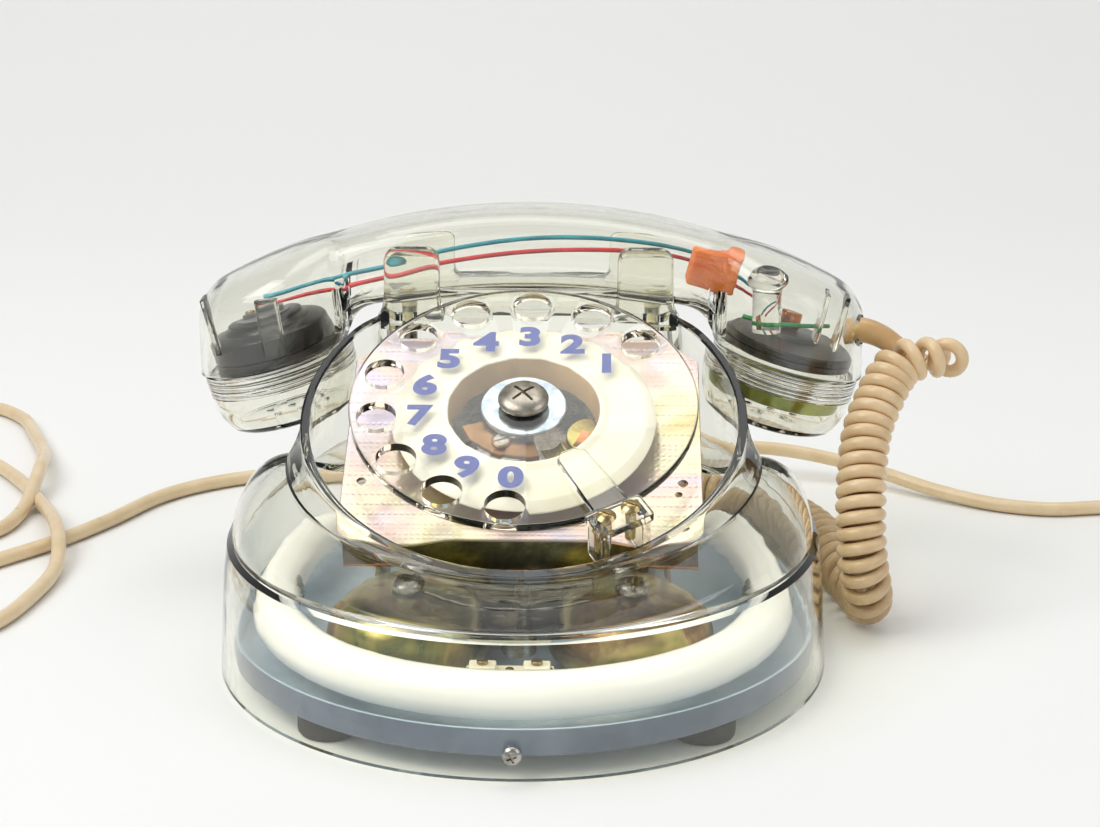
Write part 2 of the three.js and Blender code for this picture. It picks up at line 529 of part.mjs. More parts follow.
// Lamp supply: along the table to the right, then into its coil.
const mainsPath = [[MAINS_EXIT_X, rearFace(MAINS_EXIT_X) + 8.5, EXIT_Z], [-14, 133, 19.6], [-4, 153, 17.6],
  [16, 167, 15.4], [44, 175, 13.4], [70, 177, 12.2], [92, 176, 11.4], [112, 173, 8.8], [131, 165, 6], [151, 151, 3.6],
  [171, 139, FLOOR_CORD], [190, 134, FLOOR_CORD], [210, 136.6, FLOOR_CORD], [226, 138, FLOOR_CORD],
  [239.7, 138, FLOOR_CORD]];
add('mains_cord', tube(mainsPath, CORD_R, 30, 8), BEIGE);

// Coils of the spare cord: a ring two turns high, with the cord's two ends leaving it as straight stubs.
const COIL_R = 28.5; // middle of the turns
const TURN_PITCH = 5.4;
const STUB = 22;
function coil(name, plugName, wide, centre, spin, outTurn, plug) {
  const half = wide * TURN_PITCH / 2;
  const lead = COIL_R + half - TURN_PITCH / 2;
  const ring = lathe([[COIL_R - half, 0.1], [COIL_R + half, 0.1], [COIL_R + half, 0.1 + 2 * TURN_PITCH],
    [COIL_R - half, 0.1 + 2 * TURN_PITCH]], 24);
  const stubIn = rod(CORD_R, -STUB, 0, 8).rotateY(-Math.PI / 2 * spin).translate(0, lead, FLOOR_CORD);
  const top = FLOOR_CORD + TURN_PITCH;
  const stubOut = rod(CORD_R, 0, STUB, 8).rotateX(Math.PI / 2).translate(lead * outTurn, 0, top);
  add(name, join(ring, stubIn, stubOut), BEIGE, body, [...centre, 0]);
  add(plugName, plug, BEIGE, body, [centre[0] + lead * outTurn, centre[1] - STUB - GAP, top], [0, 0, -Math.PI / 2]);
}
const boot = lathe([[0, 0], [3.3, 0], [4.6, 24], [0, 24]], 12).rotateY(Math.PI / 2);
const pin = (y, length, r) => rod(r, 0, length, 10).rotateY(Math.PI / 2).translate(54, y, 0);
const blade = (y, z) => block(9, 1.2, 3).translate(59, y, z);
coil('line_coil', 'line_plug', 3, [-262, 56], 1, -1,
  join(boot, block(34, 26, 15.6).translate(40, 0, 0), blade(-8, 3), blade(8, 3), blade(-8, -3), blade(8, -3),
    block(4, 14, 4).translate(58, 0, 0)));
coil('mains_coil', 'mains_plug', 4, [262, 101.4], -1, 1,
  join(boot, block(32, 34, 13).translate(38.4, 0, 0), pin(-9.5, 19, 2.2), pin(9.5, 19, 2.2)));

export default phone;
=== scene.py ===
"""Clear rotary telephone with a ring lamp in its base, on a pale table.

The telephone is laid out in millimetres about the axis of its round front, and the function metres()
puts every shape into the shared frame. Sections follow the telephone as it is put together.
"""

import math

import bmesh
import bpy
import numpy as np
from mathutils import Matrix


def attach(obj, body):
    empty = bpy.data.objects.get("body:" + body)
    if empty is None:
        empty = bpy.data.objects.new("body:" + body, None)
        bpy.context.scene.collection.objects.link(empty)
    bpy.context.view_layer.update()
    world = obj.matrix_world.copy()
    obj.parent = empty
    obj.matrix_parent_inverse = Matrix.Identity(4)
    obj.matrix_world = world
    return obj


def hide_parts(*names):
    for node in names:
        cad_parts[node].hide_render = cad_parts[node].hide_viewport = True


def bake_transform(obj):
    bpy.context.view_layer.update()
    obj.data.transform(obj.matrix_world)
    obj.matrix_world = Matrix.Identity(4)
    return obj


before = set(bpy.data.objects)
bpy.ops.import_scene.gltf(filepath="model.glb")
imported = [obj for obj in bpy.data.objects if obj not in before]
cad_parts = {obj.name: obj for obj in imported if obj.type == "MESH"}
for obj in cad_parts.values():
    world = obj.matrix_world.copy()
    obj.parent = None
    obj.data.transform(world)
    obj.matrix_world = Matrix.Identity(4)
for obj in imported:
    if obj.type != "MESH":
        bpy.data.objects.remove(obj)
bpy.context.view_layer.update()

# ---------- camera ----------
# A short telephoto a good arm's length in front of the dial, looking slightly down on it.

LENS_MM = 81.2
camera_data = bpy.data.cameras.new("camera")
camera_data.lens = LENS_MM
camera_data.sensor_width = 36.0
camera_data.clip_start = 0.01
camera = bpy.data.objects.new("camera", camera_data)
camera.location = (0.0262, -0.7452, 0.3113)
camera.rotation_euler = (math.pi / 2 - 0.304, 0.0, 0.024)
bpy.context.scene.collection.objects.link(camera)
bpy.context.scene.camera = camera

# ---------- the two straight cords ----------
# Round two-core flex in soft beige vinyl, extruded in one length. One runs to the telephone line and
# one to the ring lamp's supply. Each leaves a grommet at the back and ends in its plug.

CENTRE_Y = -9.5


def metres(points):
    """Millimetres about the round front's axis, in metres in the shared frame."""
    return (np.asarray(points, float) + (0.0, CENTRE_Y, 0.0)) / 1000.0


def smooth_line(points, step):
    """A centripetal Catmull-Rom curve through the points, cut into equal steps of about that length."""
    p = np.asarray(points, float)
    p = np.vstack([2 * p[0] - p[1], p, 2 * p[-1] - p[-2]])
    knots = np.append(0.0, np.cumsum(np.linalg.norm(np.diff(p, axis=0), axis=1) ** 0.5))
    fine = []
    for i in range(1, len(p) - 2):
        t = np.linspace(knots[i], knots[i + 1], 24, endpoint=False)[:, None]
        k0, k1, k2, k3 = knots[i - 1 : i + 3]
        a = [(k[1] - t) / (k[1] - k[0]) * p[j] + (t - k[0]) / (k[1] - k[0]) * p[j + 1]
             for j, k in ((i - 1, (k0, k1)), (i, (k1, k2)), (i + 1, (k2, k3)))]
        b = [(k[1] - t) / (k[1] - k[0]) * a[j] + (t - k[0]) / (k[1] - k[0]) * a[j + 1]
             for j, k in ((0, (k0, k2)), (1, (k1, k3)))]
        fine.append((k2 - t) / (k2 - k1) * b[0] + (t - k1) / (k2 - k1) * b[1])
    fine = np.vstack([*fine, p[-2]])
    along = np.append(0.0, np.cumsum(np.linalg.norm(np.diff(fine, axis=0), axis=1)))
    even = np.linspace(0.0, along[-1], max(2, round(along[-1] / step) + 1))
    return np.stack([np.interp(even, along, fine[:, i]) for i in range(3)], axis=1)


def frames_along(path):
    """Direction of a path at each point, and two cross directions that turn as little as they can."""
    ahead = np.gradient(path, axis=0)
    ahead /= np.linalg.norm(ahead, axis=1, keepdims=True)
    side = np.empty_like(ahead)
    side[0] = np.cross(ahead[0], np.eye(3)[np.argmin(np.abs(ahead[0]))])
    side[0] /= np.linalg.norm(side[0])
    for i in range(1, len(path)):
        flat = side[i - 1] - ahead[i] * (side[i - 1] @ ahead[i])
        side[i] = flat / np.linalg.norm(flat)
    return ahead, side, np.cross(ahead, side)


def skin(rings, ends="poles"):
    """Points and faces over rings of equal size, shaped (rings, around, 3). Ends close in a pole each,
    or the last ring joins the first."""
    rows, around = rings.shape[:2]
    points = rings.reshape(-1, 3)
    wrap = ends == "joined"
    j, i = np.meshgrid(np.arange(rows if wrap else rows - 1), np.arange(around), indexing="ij")
    j2, i2 = (j + 1) % rows, (i + 1) % around
    quads = np.stack([j * around + i, j * around + i2, j2 * around + i2, j2 * around + i], axis=-1)
    faces = quads.reshape(-1, 4).tolist()
    if ends == "poles":
        points = np.vstack([points, rings[0].mean(axis=0), rings[-1].mean(axis=0)])
        n, last = len(points) - 2, (rows - 1) * around
        faces += [[n, (k + 1) % around, k] for k in range(around)]
        faces += [[n + 1, last + k, last + (k + 1) % around] for k in range(around)]
    return points, faces


def piece(name, points, faces, material, body, replaced=(), slot=None, matrix=None, sharp=35.0, bevel=0.0):
    """A piece of the telephone from points in millimetres, merged, turned outwards and shaded smooth
    up to an angle. The matrix places points that are given about the piece's own axis."""
    points = np.asarray(points, float)
    if matrix is not None:
        points = points @ matrix[:3, :3].T + matrix[:3, 3]
    mesh = bpy.data.meshes.new(name)
    mesh.from_pydata(metres(points).tolist(), [], faces)
    return finish_piece(name, mesh, material, body, replaced, slot, sharp, bevel)


def finish_piece(name, mesh, material, body, replaced=(), slot=None, sharp=32.0, bevel=0.0):
    """Merges doubles, turns faces outwards, and gives the mesh its material, shading and body."""
    work = bmesh.new()
    work.from_mesh(mesh)
    bmesh.ops.remove_doubles(work, verts=work.verts, dist=2e-6)
    bmesh.ops.recalc_face_normals(work, faces=work.faces)
    work.to_mesh(mesh)
    work.free()
    mesh.polygons.foreach_set("use_smooth", [True] * len(mesh.polygons))
    mesh.set_sharp_from_angle(angle=math.radians(sharp))
    mesh.materials.append(material)
    made = bpy.data.objects.new(name, mesh)
    bpy.context.scene.collection.objects.link(made)
    if bevel:
        edge = made.modifiers.new("edge", "BEVEL")
        edge.width = bevel / 1000.0
        edge.segments = 2
        edge.limit_method = "ANGLE"
        edge.angle_limit = math.radians(40)
        edge.harden_normals = True
    if body:
        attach(made, body)
    if replaced:
        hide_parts(*([replaced] if isinstance(replaced, str) else replaced))
    return made


def swept(path, radius, sides):
    """A round tube along a path; the radius is one number or one for each point. Both ends close flat."""
    _, side, up = frames_along(path)
    turn = np.linspace(0.0, 2 * math.pi, sides, endpoint=False)
    circle = np.cos(turn)[None, :, None] * side[:, None, :] + np.sin(turn)[None, :, None] * up[:, None, :]
    width = np.broadcast_to(np.asarray(radius, float), len(path))
    return skin(path[:, None, :] + circle * width[:, None, None])


def linear(colour):
    """An sRGB hex colour as linear red, green, blue and alpha."""
    c = np.array([int(colour[i : i + 2], 16) for i in (0, 2, 4)]) / 255.0
    return (*np.where(c <= 0.04045, c / 12.92, ((c + 0.055) / 1.055) ** 2.4).tolist(), 1.0)


def add(tree, kind, settings=None, **sockets):
    """Adds a shader node. Settings are its properties; sockets are values or links, by name."""
    made = tree.nodes.new("ShaderNode" + kind)
    for key, value in (settings or {}).items():
        setattr(made, key, value)
    for key, value in sockets.items():
        socket = made.inputs[int(key[1:])] if key[1:].isdigit() else made.inputs[key.replace("_", " ")]
        if isinstance(value, bpy.types.NodeSocket):
            tree.links.new(value, socket)
        else:
            socket.default_value = value
    return made


def new_material(name):
    """An empty material, its node tree and its Object coordinates."""
    made = bpy.data.materials.new(name)
    made.use_nodes = True
    tree = made.node_tree
    tree.nodes.clear()
    return made, tree, add(tree, "TexCoord").outputs["Object"]


def shade(tree, **sockets):
    """Puts a Principled shader with these sockets on the surface and returns it."""
    surface = add(tree, "BsdfPrincipled", **sockets)
    add(tree, "OutputMaterial", Surface=surface.outputs[0])
    return surface


def ramp(tree, factor, *stops):
    """A Color Ramp over a factor, from (position, hex colour) stops."""
    made = add(tree, "ValToRGB", Fac=factor)
    while len(made.color_ramp.elements) < len(stops):
        made.color_ramp.elements.new(0.5)
    for element, (position, colour) in zip(made.color_ramp.elements, stops):
        element.position = position
        element.color = linear(colour)
    return made.outputs["Color"]


def bump_of(tree, height, depth_mm, strength=1.0):
    """A surface relief of that depth in millimetres, as a normal."""
    return add(tree, "Bump", Height=height, Distance=depth_mm / 1000.0, Strength=strength).outputs["Normal"]


# Beige vinyl, extruded: glossy and a little mottled with age, with painted shade near the floor: patches
# browner towards the bottom, where a cord lies on the table or hangs in shade.
def beige_vinyl(name, clean, aged, floor_shade, floor_mm):
    made, tree, at = new_material(name)
    mottle = add(tree, "TexNoise", Vector=at, Scale=90.0, Detail=4.0, Roughness=0.6)
    body = ramp(tree, mottle.outputs["Fac"], (0.3, aged), (0.7, clean))
    # Painted shade: up to floor_mm above the table the colour goes over to the shade colour, in patches.
    height = add(tree, "SeparateXYZ", Vector=at).outputs["Z"]
    low = add(tree, "MapRange", Value=height, From_Min=0.0, From_Max=floor_mm / 1000.0, To_Min=1.0,
              To_Max=0.0)
    # This noise breaks the painted shade into patches and also gives the surface its fine relief.
    shade_and_grain = add(tree, "TexNoise", Vector=at, Scale=420.0, Detail=5.0, Roughness=0.7)
    painted_shade = add(tree, "Math", {"operation": "MULTIPLY"}, _0=low.outputs[0], _1=shade_and_grain.outputs["Fac"])
    colour = add(tree, "Mix", {"data_type": "RGBA"}, Factor=painted_shade.outputs[0])
    tree.links.new(body, colour.inputs[6])
    colour.inputs[7].default_value = linear(floor_shade)
    rough = add(tree, "MapRange", Value=mottle.outputs["Fac"], To_Min=0.22, To_Max=0.4)
    shade(tree, Base_Color=colour.outputs[2], Roughness=rough.outputs[0], IOR=1.53,
          Normal=bump_of(tree, shade_and_grain.outputs["Fac"], 0.05, 0.4), Coat_Weight=0.3, Coat_Roughness=0.12)
    return made


# Painted shade: the lowest 2 mm of the straight cords, their undersides on the table, go browner in patches.
flex_vinyl = beige_vinyl("vinyl_flex", "E9D2AE", "DCC296", "B8A27E", 2.0)

CORD_R = 2.6
FLOOR_CORD = CORD_R + 0.1
OVER = 3.1 * CORD_R
EXIT_Z = 20.0
BASE_R = 96.0
BASE_REAR = 115.0
BASE_POWER = 2.4


def rear_face(x):
    """Reach of the case's rear face at a side distance."""
    return BASE_REAR * (1 - (abs(x) / BASE_R) ** BASE_POWER) ** (1 / BASE_POWER) - 0.4


COIL_PITCH = 5.4
COIL_STUB = 22.0


def coil_turns(centre, wide, spin, start_lead):
    """A spare length wound two turns high: in towards the middle on the table, then out again on top.
    Where it climbs, it rolls over the turn below, one pitch from it."""
    turns = 2 * wide - 1.75
    t = np.linspace(0.0, turns, round(turns * 28) + 1)
    half = turns / 2
    radius = start_lead - COIL_PITCH * (half - np.abs(t - half))
    up = np.clip(t - half, 0.0, 0.5)
    lift = np.where(t > half, np.sqrt(np.clip(1 - (1 - 2 * up) ** 2, 0.0, 1.0)), 0.0)
    angle = math.pi / 2 + spin * 2 * math.pi * t
    return np.stack([centre[0] + radius * np.cos(angle), centre[1] + radius * np.sin(angle),
                     FLOOR_CORD + COIL_PITCH * lift], axis=1)


def straight_cord(name, route, wide, centre, spin):
    """A cord along its route, into its coil and out to the plug, as one tube."""
    lead = 28.5 + wide * COIL_PITCH / 2 - COIL_PITCH / 2
    coil = coil_turns(centre, wide, spin, lead)
    out_x = centre[0] - spin * lead
    tail = [[out_x, centre[1] - y, FLOOR_CORD + COIL_PITCH] for y in (8.0, 16.0, COIL_STUB)]
    path = smooth_line(np.vstack([route[:-1], coil[::2], tail]), 1.6)
    made = piece(name, *swept(path, CORD_R, 12), flex_vinyl, "body", (f"{name}_cord", f"{name}_coil"),
                 "beige_vinyl")
    line = metres(path)


GUARD_END = [133.0, 64.5, 78.6]
LINE_X, MAINS_X, CURL_X = -34.0, -15.0, 30.0
line_route = [
    [LINE_X, rear_face(LINE_X) + 8.5, EXIT_Z], [-34.4, 127, 19.2], [-38, 142, 14.6], [-51, 157, 8.6],
    [-75, 167, 3.6], [-106, 165, FLOOR_CORD], [-127, 154, FLOOR_CORD], [-141, 140, FLOOR_CORD],
    [-155, 114, FLOOR_CORD], [-169, 92, FLOOR_CORD], [-187, 71, FLOOR_CORD], [-203, 50, FLOOR_CORD],
    [-212, 26, FLOOR_CORD], [-205, 4, FLOOR_CORD], [-187, -1, FLOOR_CORD], [-174, 14, FLOOR_CORD],
    [-167, 38, FLOOR_CORD], [-164, 62, 3.6], [-166, 78, 6.6], [-170, 93, OVER], [-176, 110, 6.6],
    [-184, 130, 3.4], [-195, 152, FLOOR_CORD], [-210, 174, FLOOR_CORD], [-229, 194, FLOOR_CORD],
    [-247, 217, FLOOR_CORD], [-249, 242, FLOOR_CORD], [-231, 250, FLOOR_CORD], [-215, 236, FLOOR_CORD],
    [-204, 212, FLOOR_CORD], [-196, 190, 3.6], [-192, 172, 6.6], [-190, 158, OVER], [-189, 143, 6.6],
    [-189, 124, 3.4], [-192, 106, FLOOR_CORD], [-199, 95, FLOOR_CORD], [-210, 90.6, FLOOR_CORD],
    [-224, 89.9, FLOOR_CORD], [-239.7, 89.9, FLOOR_CORD],
]
mains_route = [
    [MAINS_X, rear_face(MAINS_X) + 8.5, EXIT_Z], [-14, 133, 19.6], [-4, 153, 17.6], [16, 167, 15.4],
    [44, 175, 13.4], [70, 177, 12.2], [92, 176, 11.4], [112, 173, 8.8], [131, 165, 6], [151, 151, 3.6],
    [171, 139, FLOOR_CORD], [190, 134, FLOOR_CORD], [210, 136.6, FLOOR_CORD], [226, 138, FLOOR_CORD],
    [239.7, 138, FLOOR_CORD],
]


# Grommets: soft vinyl bushings pushed into the rear of the case, each with a short tapering sleeve.
def turned(outline, steps=64):
    """A solid of revolution about Z. The outline runs from axis to axis, or closes on itself."""
    o = np.asarray(outline, float)
    turn = np.linspace(0.0, 2 * math.pi, steps, endpoint=False)
    radius = np.maximum(o[:, 0], 1e-4)[:, None]
    rings = np.stack([radius * np.cos(turn), radius * np.sin(turn), np.repeat(o[:, 1:], steps, axis=1)],
                     axis=-1)
    return skin(rings, "poles" if o[0, 0] == 0 and o[-1, 0] == 0 else "joined")


def place(x=0.0, y=0.0, z=0.0, turn_x=0.0, turn_y=0.0, turn_z=0.0):
    """A placing matrix: turned about X, then Y, then Z in degrees, then moved, in millimetres."""
    made = (Matrix.Rotation(math.radians(turn_z), 4, "Z") @ Matrix.Rotation(math.radians(turn_y), 4, "Y")
            @ Matrix.Rotation(math.radians(turn_x), 4, "X"))
    made.translation = (x, y, z)
    return np.array(made)


for word, x in (("curl", CURL_X), ("line", LINE_X), ("mains", MAINS_X)):
    outline = [[0, -2.4], [5, -2.4], [5, 1.6], [6.4, 1.7], [6.6, 2.2], [6.3, 3], [5.2, 3.3]]
    outline += [[4.9 - 0.28 * k + 0.25 * (k % 2), 3.5 + 0.8 * k] for k in range(6)] + [[3.0, 8.2], [0, 8.2]]
    piece(f"{word}_bushing", *turned(outline, 40), flex_vinyl, "body", f"{word}_grommet",
                           "beige_vinyl", place(x, rear_face(x), EXIT_Z, turn_x=-90))


# Plugs: moulded vinyl bodies with a ribbed boot. The line plug has flat blades round a key, the lamp's
# plug a pair of round pins, both in nickelled brass.
def stack(heights, half_x, half_y, power=6.0, around=64):
    """Rings of superellipses about Z, one for each height, with those half widths."""
    turn = np.linspace(0.0, 2 * math.pi, around, endpoint=False)
    c, s = np.cos(turn), np.sin(turn)
    c, s = np.sign(c) * np.abs(c) ** (2 / power), np.sign(s) * np.abs(s) ** (2 / power)
    rows = len(heights)
    wide, deep = (np.broadcast_to(half, rows)[:, None] for half in (half_x, half_y))
    return np.stack([wide * c, deep * s, np.repeat(np.asarray(heights, float)[:, None], around, 1)], axis=-1)


def rounded_box(size, corner, power=6.0, around=64):
    """A box of that size about the origin, its ends in Z rounded over by the corner radius."""
    a = np.linspace(-math.pi / 2, math.pi / 2, 12)
    inset = corner * (1 - np.cos(a))
    heights = np.sign(a) * (size[2] / 2 - corner) + np.sin(a) * corner
    return skin(stack(heights, size[0] / 2 - inset, size[1] / 2 - inset, power, around))


def moved(shape, matrix):
    """The points of a (points, faces) pair, placed by a matrix."""
    points, faces = shape
    return points @ matrix[:3, :3].T + matrix[:3, 3], faces


def together(*shapes):
    """Several (points, faces) pairs as one."""
    points, faces, start = [], [], 0
    for p, f in shapes:
        points.append(p)
        faces += [[i + start for i in face] for face in f]
        start += len(p)
    return np.vstack(points), faces


def nickel(name, clean, shadow, rough):
    made, tree, at = new_material(name)
    tone = add(tree, "TexNoise", Vector=at, Scale=260.0, Detail=6.0, Roughness=0.65)
    scratch = add(tree, "TexNoise", Vector=add(tree, "Mapping", Vector=at, Scale=(1, 1, 9)).outputs[0],
                  Scale=900.0, Detail=3.0)
    colour = ramp(tree, tone.outputs["Fac"], (0.32, shadow), (0.6, clean))
    roughness = add(tree, "MapRange", Value=scratch.outputs["Fac"], To_Min=rough * 0.6, To_Max=rough * 1.5)
    shade(tree, Base_Color=colour, Metallic=1.0, Roughness=roughness.outputs[0],
          Normal=bump_of(tree, scratch.outputs["Fac"], 0.01, 0.35))
    return made


# Nickel plate over steel: bright, with fine handling scratches and a little grey tarnish.
bright_nickel = nickel("nickel_plate", "D6D2C8", "9C978C", 0.2)

ribs = [[4.4 - 0.07 * k + 0.35 * (k % 2), 23.0 - 1.5 * k] for k in range(15)]
boot = turned([[0, 24.3], [4.7, 24.3], *ribs, [3.3, 0.2], [2.9, 0], [0, 0]], 32)
for word, centre, size, pins in (
    ("line", (-295.9, 33.7), (15.4, 25.8, 34.0), "blades"),
    ("mains", (298.6, 79.1), (12.8, 33.6, 32.0), "pins"),
):
    lengthwise = place(23.2 + size[2] / 2, turn_y=90)
    shell = together(moved(boot, place(turn_y=90)), moved(rounded_box(size, 4.0), lengthwise))
    base = place(centre[0], centre[1], FLOOR_CORD + COIL_PITCH, turn_z=-90)
    piece(f"{word}_plug_body", *shell, flex_vinyl, "body", f"{word}_plug", "beige_vinyl", base)
    if pins == "blades":
        blade = rounded_box((3.0, 1.2, 9.0), 0.5, 8.0, 16)
        parts = [moved(blade, place(59, y, z, turn_y=90)) for y in (-8, 8) for z in (-3, 3)]
        parts.append(moved(rounded_box((3.8, 13.6, 4.4), 0.8, 8.0, 24), place(58, turn_y=90)))
    else:
        pin = turned([[0, 0], [2.2, 0], [2.2, 17.6], [1.5, 18.8], [0, 19]], 24)
        parts = [moved(pin, place(54, y, turn_y=90)) for y in (-9.5, 9.5)]
    piece(f"{word}_plug_contacts", *together(*parts), bright_nickel, "body", (), "bright_steel", base)

straight_cord("line", line_route, 3, (-262.0, 56.0), 1)
straight_cord("mains", mains_route, 4, (262.0, 101.4), -1)

# ---------- curly handset cord ----------
# The same vinyl over four thin cores, wound hot on a rod so that it keeps its coils. It leaves the
# handset in a tapered bend guard, folds over, hangs to the table and runs back round the case.

CURL_WIRE_R = 2.2
CURL_Z = 8.7
# Painted shade: the lowest 42 mm of the curly cord, where it hangs and runs round the case in shade, go dark
# brown in patches.
coil_vinyl = beige_vinyl("vinyl_coiled", "E9CDA4", "D6B688", "8A6A3F", 42.0)
curl_route = [
    [133.6, 64.1, 78.8], [137.4, 61.6, 80.6], [139.8, 57.6, 82.6], [138, 53.4, 84], [133, 51, 84.6],
    [128, 49.8, 84.6], [122.7, 48.6, 83], [119.2, 46.5, 79.4], [114.8, 41, 72.6], [111.1, 35, 65],
    [109.1, 28, 56.2], [108.2, 20.5, 44.7], [108.2, 17, 36], [108.9, 15.2, 27], [110.6, 16.6, 17.5],
    [111.8, 22.5, 10.4], [110.2, 34, CURL_Z], [106.4, 50, CURL_Z], [104, 70, CURL_Z], [100, 92, CURL_Z],
    [90, 112, CURL_Z], [74, 127, CURL_Z], [56, 136, CURL_Z + 0.6], [41, 138, 12.4], [32.5, 132, 17.4],
    [CURL_X, 123.6, EXIT_Z], [CURL_X, rear_face(CURL_X) + 8.4, EXIT_Z],
]
middle = smooth_line(curl_route, 0.2)
_, curl_side, curl_up = frames_along(middle)
along = np.linspace(0.0, 0.2 * (len(middle) - 1), len(middle))
# the coils by distance from the guard: pitch and middle radius, in millimetres
pitch = np.interp(along, [0, 12, 22, 34, 104, 122, 142, 160, 185, 270, 290],
                  [9.0, 9.0, 7.0, 4.5, 4.55, 6.6, 8.6, 8.6, 5.4, 4.7, 8.0])
coil_radius = np.interp(along, [0, 7, 20, 34, 262, along[-1] - 6, along[-1]],
                        [0.0, 4.3, 4.6, 6.1, 6.1, 1.5, 0.0])
turning = np.cumsum(2 * math.pi * 0.2 / pitch)
helix = (middle + curl_side * (coil_radius * np.cos(turning))[:, None]
         + curl_up * (coil_radius * np.sin(turning))[:, None])
wire = smooth_line(helix[::2], 1.25)
curly = piece("curly_handset_cord", *swept(wire, CURL_WIRE_R, 12), coil_vinyl, None, "curly_cord",
              "beige_vinyl")
wire_line = metres(wire)
metres([111.8, 22.5, 10.4]).tolist()
metres(GUARD_END).tolist()
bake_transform(curly)

# Bend guard: a tapering vinyl sleeve moulded on the cord's end, thinner in its last few millimetres.
guard_vinyl = beige_vinyl("vinyl_guard", "D2AC7A", "BE9663", "8A6A3F", 2.0)
guard_line = smooth_line([[106, 74, 87.5], [113, 74, 87.4], [119, 72.8, 85.4], [127, 69, 80.5], GUARD_END],
                         0.7)
taper = np.linspace(0.0, 1.0, len(guard_line))
guard_r = 4.6 - 1.5 * taper - 0.25 * (taper > 0.93)
piece("cord_bend_guard", *swept(guard_line, guard_r, 32), guard_vinyl, "handset", "handset_guard",
      "beige_vinyl")

# ---------- case ----------
# One clear acrylic moulding: skirt, stepped ledge, sloping shoulder, the round well of the dial and
# the neck with the cradle's four horns. Walls are a few millimetres thick and open underneath.

WALL = 2.8
SKIRT_Z = 1.0
LEDGE_Z = 43.0
LEDGE_SCALE = 0.948
DIAL_TILT = math.radians(25.2)
DIAL_AT = (0.0, 8.6, 81.8)
WELL_R = 70.5
WELL_DEPTH = 6.0
WELL_Y = DIAL_AT[1] + WELL_DEPTH * math.sin(DIAL_TILT)
WELL_Z = DIAL_AT[2] - WELL_DEPTH * math.cos(DIAL_TILT)
NECK_HALF = 48.5
NECK_REAR = 105.5
DECK_Z = 95.5
HANDSET_Y = 80.0
PLUNGER_X = 41
SCREW_Z = 9


def lit_through(tree, glass, tint):
    """A glass shader that lets the lamps' light straight through, tinted."""
    through = add(tree, "BsdfTransparent", Color=linear(tint))
    ray = add(tree, "LightPath")
    mixed = add(tree, "MixShader", Fac=ray.outputs["Is Shadow Ray"], _1=glass.outputs[0],
                _2=through.outputs[0])
    return mixed.outputs[0]


def clear_acrylic(name, tint, density, rough, ripple_mm):
    """Cast or moulded acrylic, clear but for a tint through its thickness. Light for the pieces inside
    passes straight through it."""
    made, tree, at = new_material(name)
    flow = add(tree, "TexNoise", Vector=at, Scale=55.0, Detail=2.0)
    wear = add(tree, "TexNoise", Vector=at, Scale=700.0, Detail=4.0, Roughness=0.7)
    haze = add(tree, "MapRange", Value=wear.outputs["Fac"], From_Min=0.35, From_Max=0.75, To_Min=rough * 0.5,
               To_Max=rough * 1.8)
    glass = add(tree, "BsdfPrincipled", Base_Color=linear("FDFDF8"), Roughness=haze.outputs[0], IOR=1.49,
                Transmission_Weight=1.0, Normal=bump_of(tree, flow.outputs["Fac"], ripple_mm, 0.5))
    inside = add(tree, "VolumeAbsorption", Color=linear(tint), Density=density)
    add(tree, "OutputMaterial", Surface=lit_through(tree, glass, "F6F6EE"), Volume=inside.outputs[0])
    return made


def base_outline(turn, scale):
    """Plan outline of the base: a half circle in front and a fuller curve behind."""
    c, s = np.cos(turn), np.sin(turn)
    fuller = 2 / BASE_POWER
    x = np.where(s > 0, np.sign(c) * np.abs(c) ** fuller, c)
    y = np.where(s > 0, BASE_REAR * np.abs(s) ** fuller, BASE_R * s)
    return np.stack([BASE_R * scale * x, scale * y], axis=-1)


def turret_outline(turn, round_r, half, rear, power):
    """Plan outline of the turret: the tilted dial circle, joined with the neck behind it."""
    c, s = np.cos(turn), np.sin(turn)
    circle = round_r / np.hypot(c, s / math.cos(DIAL_TILT))
    neck = ((np.abs(c) / half) ** power + (np.maximum(s, 1e-6) / (rear - WELL_Y)) ** power) ** (-1 / power)
    reach = np.where(s > 0, (circle**16 + neck**16) ** (1 / 16), circle)
    return np.stack([reach * c, WELL_Y + reach * s], axis=-1)


def case_ring(level, inset, around):
    """One ring of the case. Levels 0 to 1 are the skirt, 1 to 2 the shoulder and 2 to 3 the turret."""
    turn = np.linspace(0.0, 2 * math.pi, around, endpoint=False)
    s = np.sin(turn)
    ease = np.clip(s / 0.6, 0.0, 1.0)
    foot = np.where(s < 0, 62 - 16.1 * np.abs(s) ** 1.1, 62 - 15.5 * ease**2 * (3 - 2 * ease)) - inset
    flare = (3 - level) ** 2 if level > 2 else 1.0
    wall = turret_outline(turn, WELL_R + 5 * flare - inset, NECK_HALF + 7.5 * flare - inset,
                          NECK_REAR + 3 * flare - inset, 8 - 4 * flare)
    if level <= 1:
        scale = 1 - 0.025 * level - 0.01 * level**8 if level < 1 else LEDGE_SCALE
        flat = base_outline(turn, scale - inset / BASE_R)
        height = np.full(around, SKIRT_Z + (LEDGE_Z - 1 - SKIRT_Z) * level + (level >= 1))
    elif level <= 2:
        a = (level - 1) * math.pi / 2
        ledge = base_outline(turn, LEDGE_SCALE - inset / BASE_R)
        flat = wall + (ledge - wall) * math.cos(a)
        low = LEDGE_Z - 0.4 * inset
        height = low + (foot - low) * math.sin(a)
    else:
        plane = WELL_Z + (wall[:, 1] - WELL_Y) * math.tan(DIAL_TILT)
        flat = wall
        height = foot + (-np.logaddexp(-plane, -DECK_Z) - foot) * (level - 2)
    return np.column_stack([flat, height])


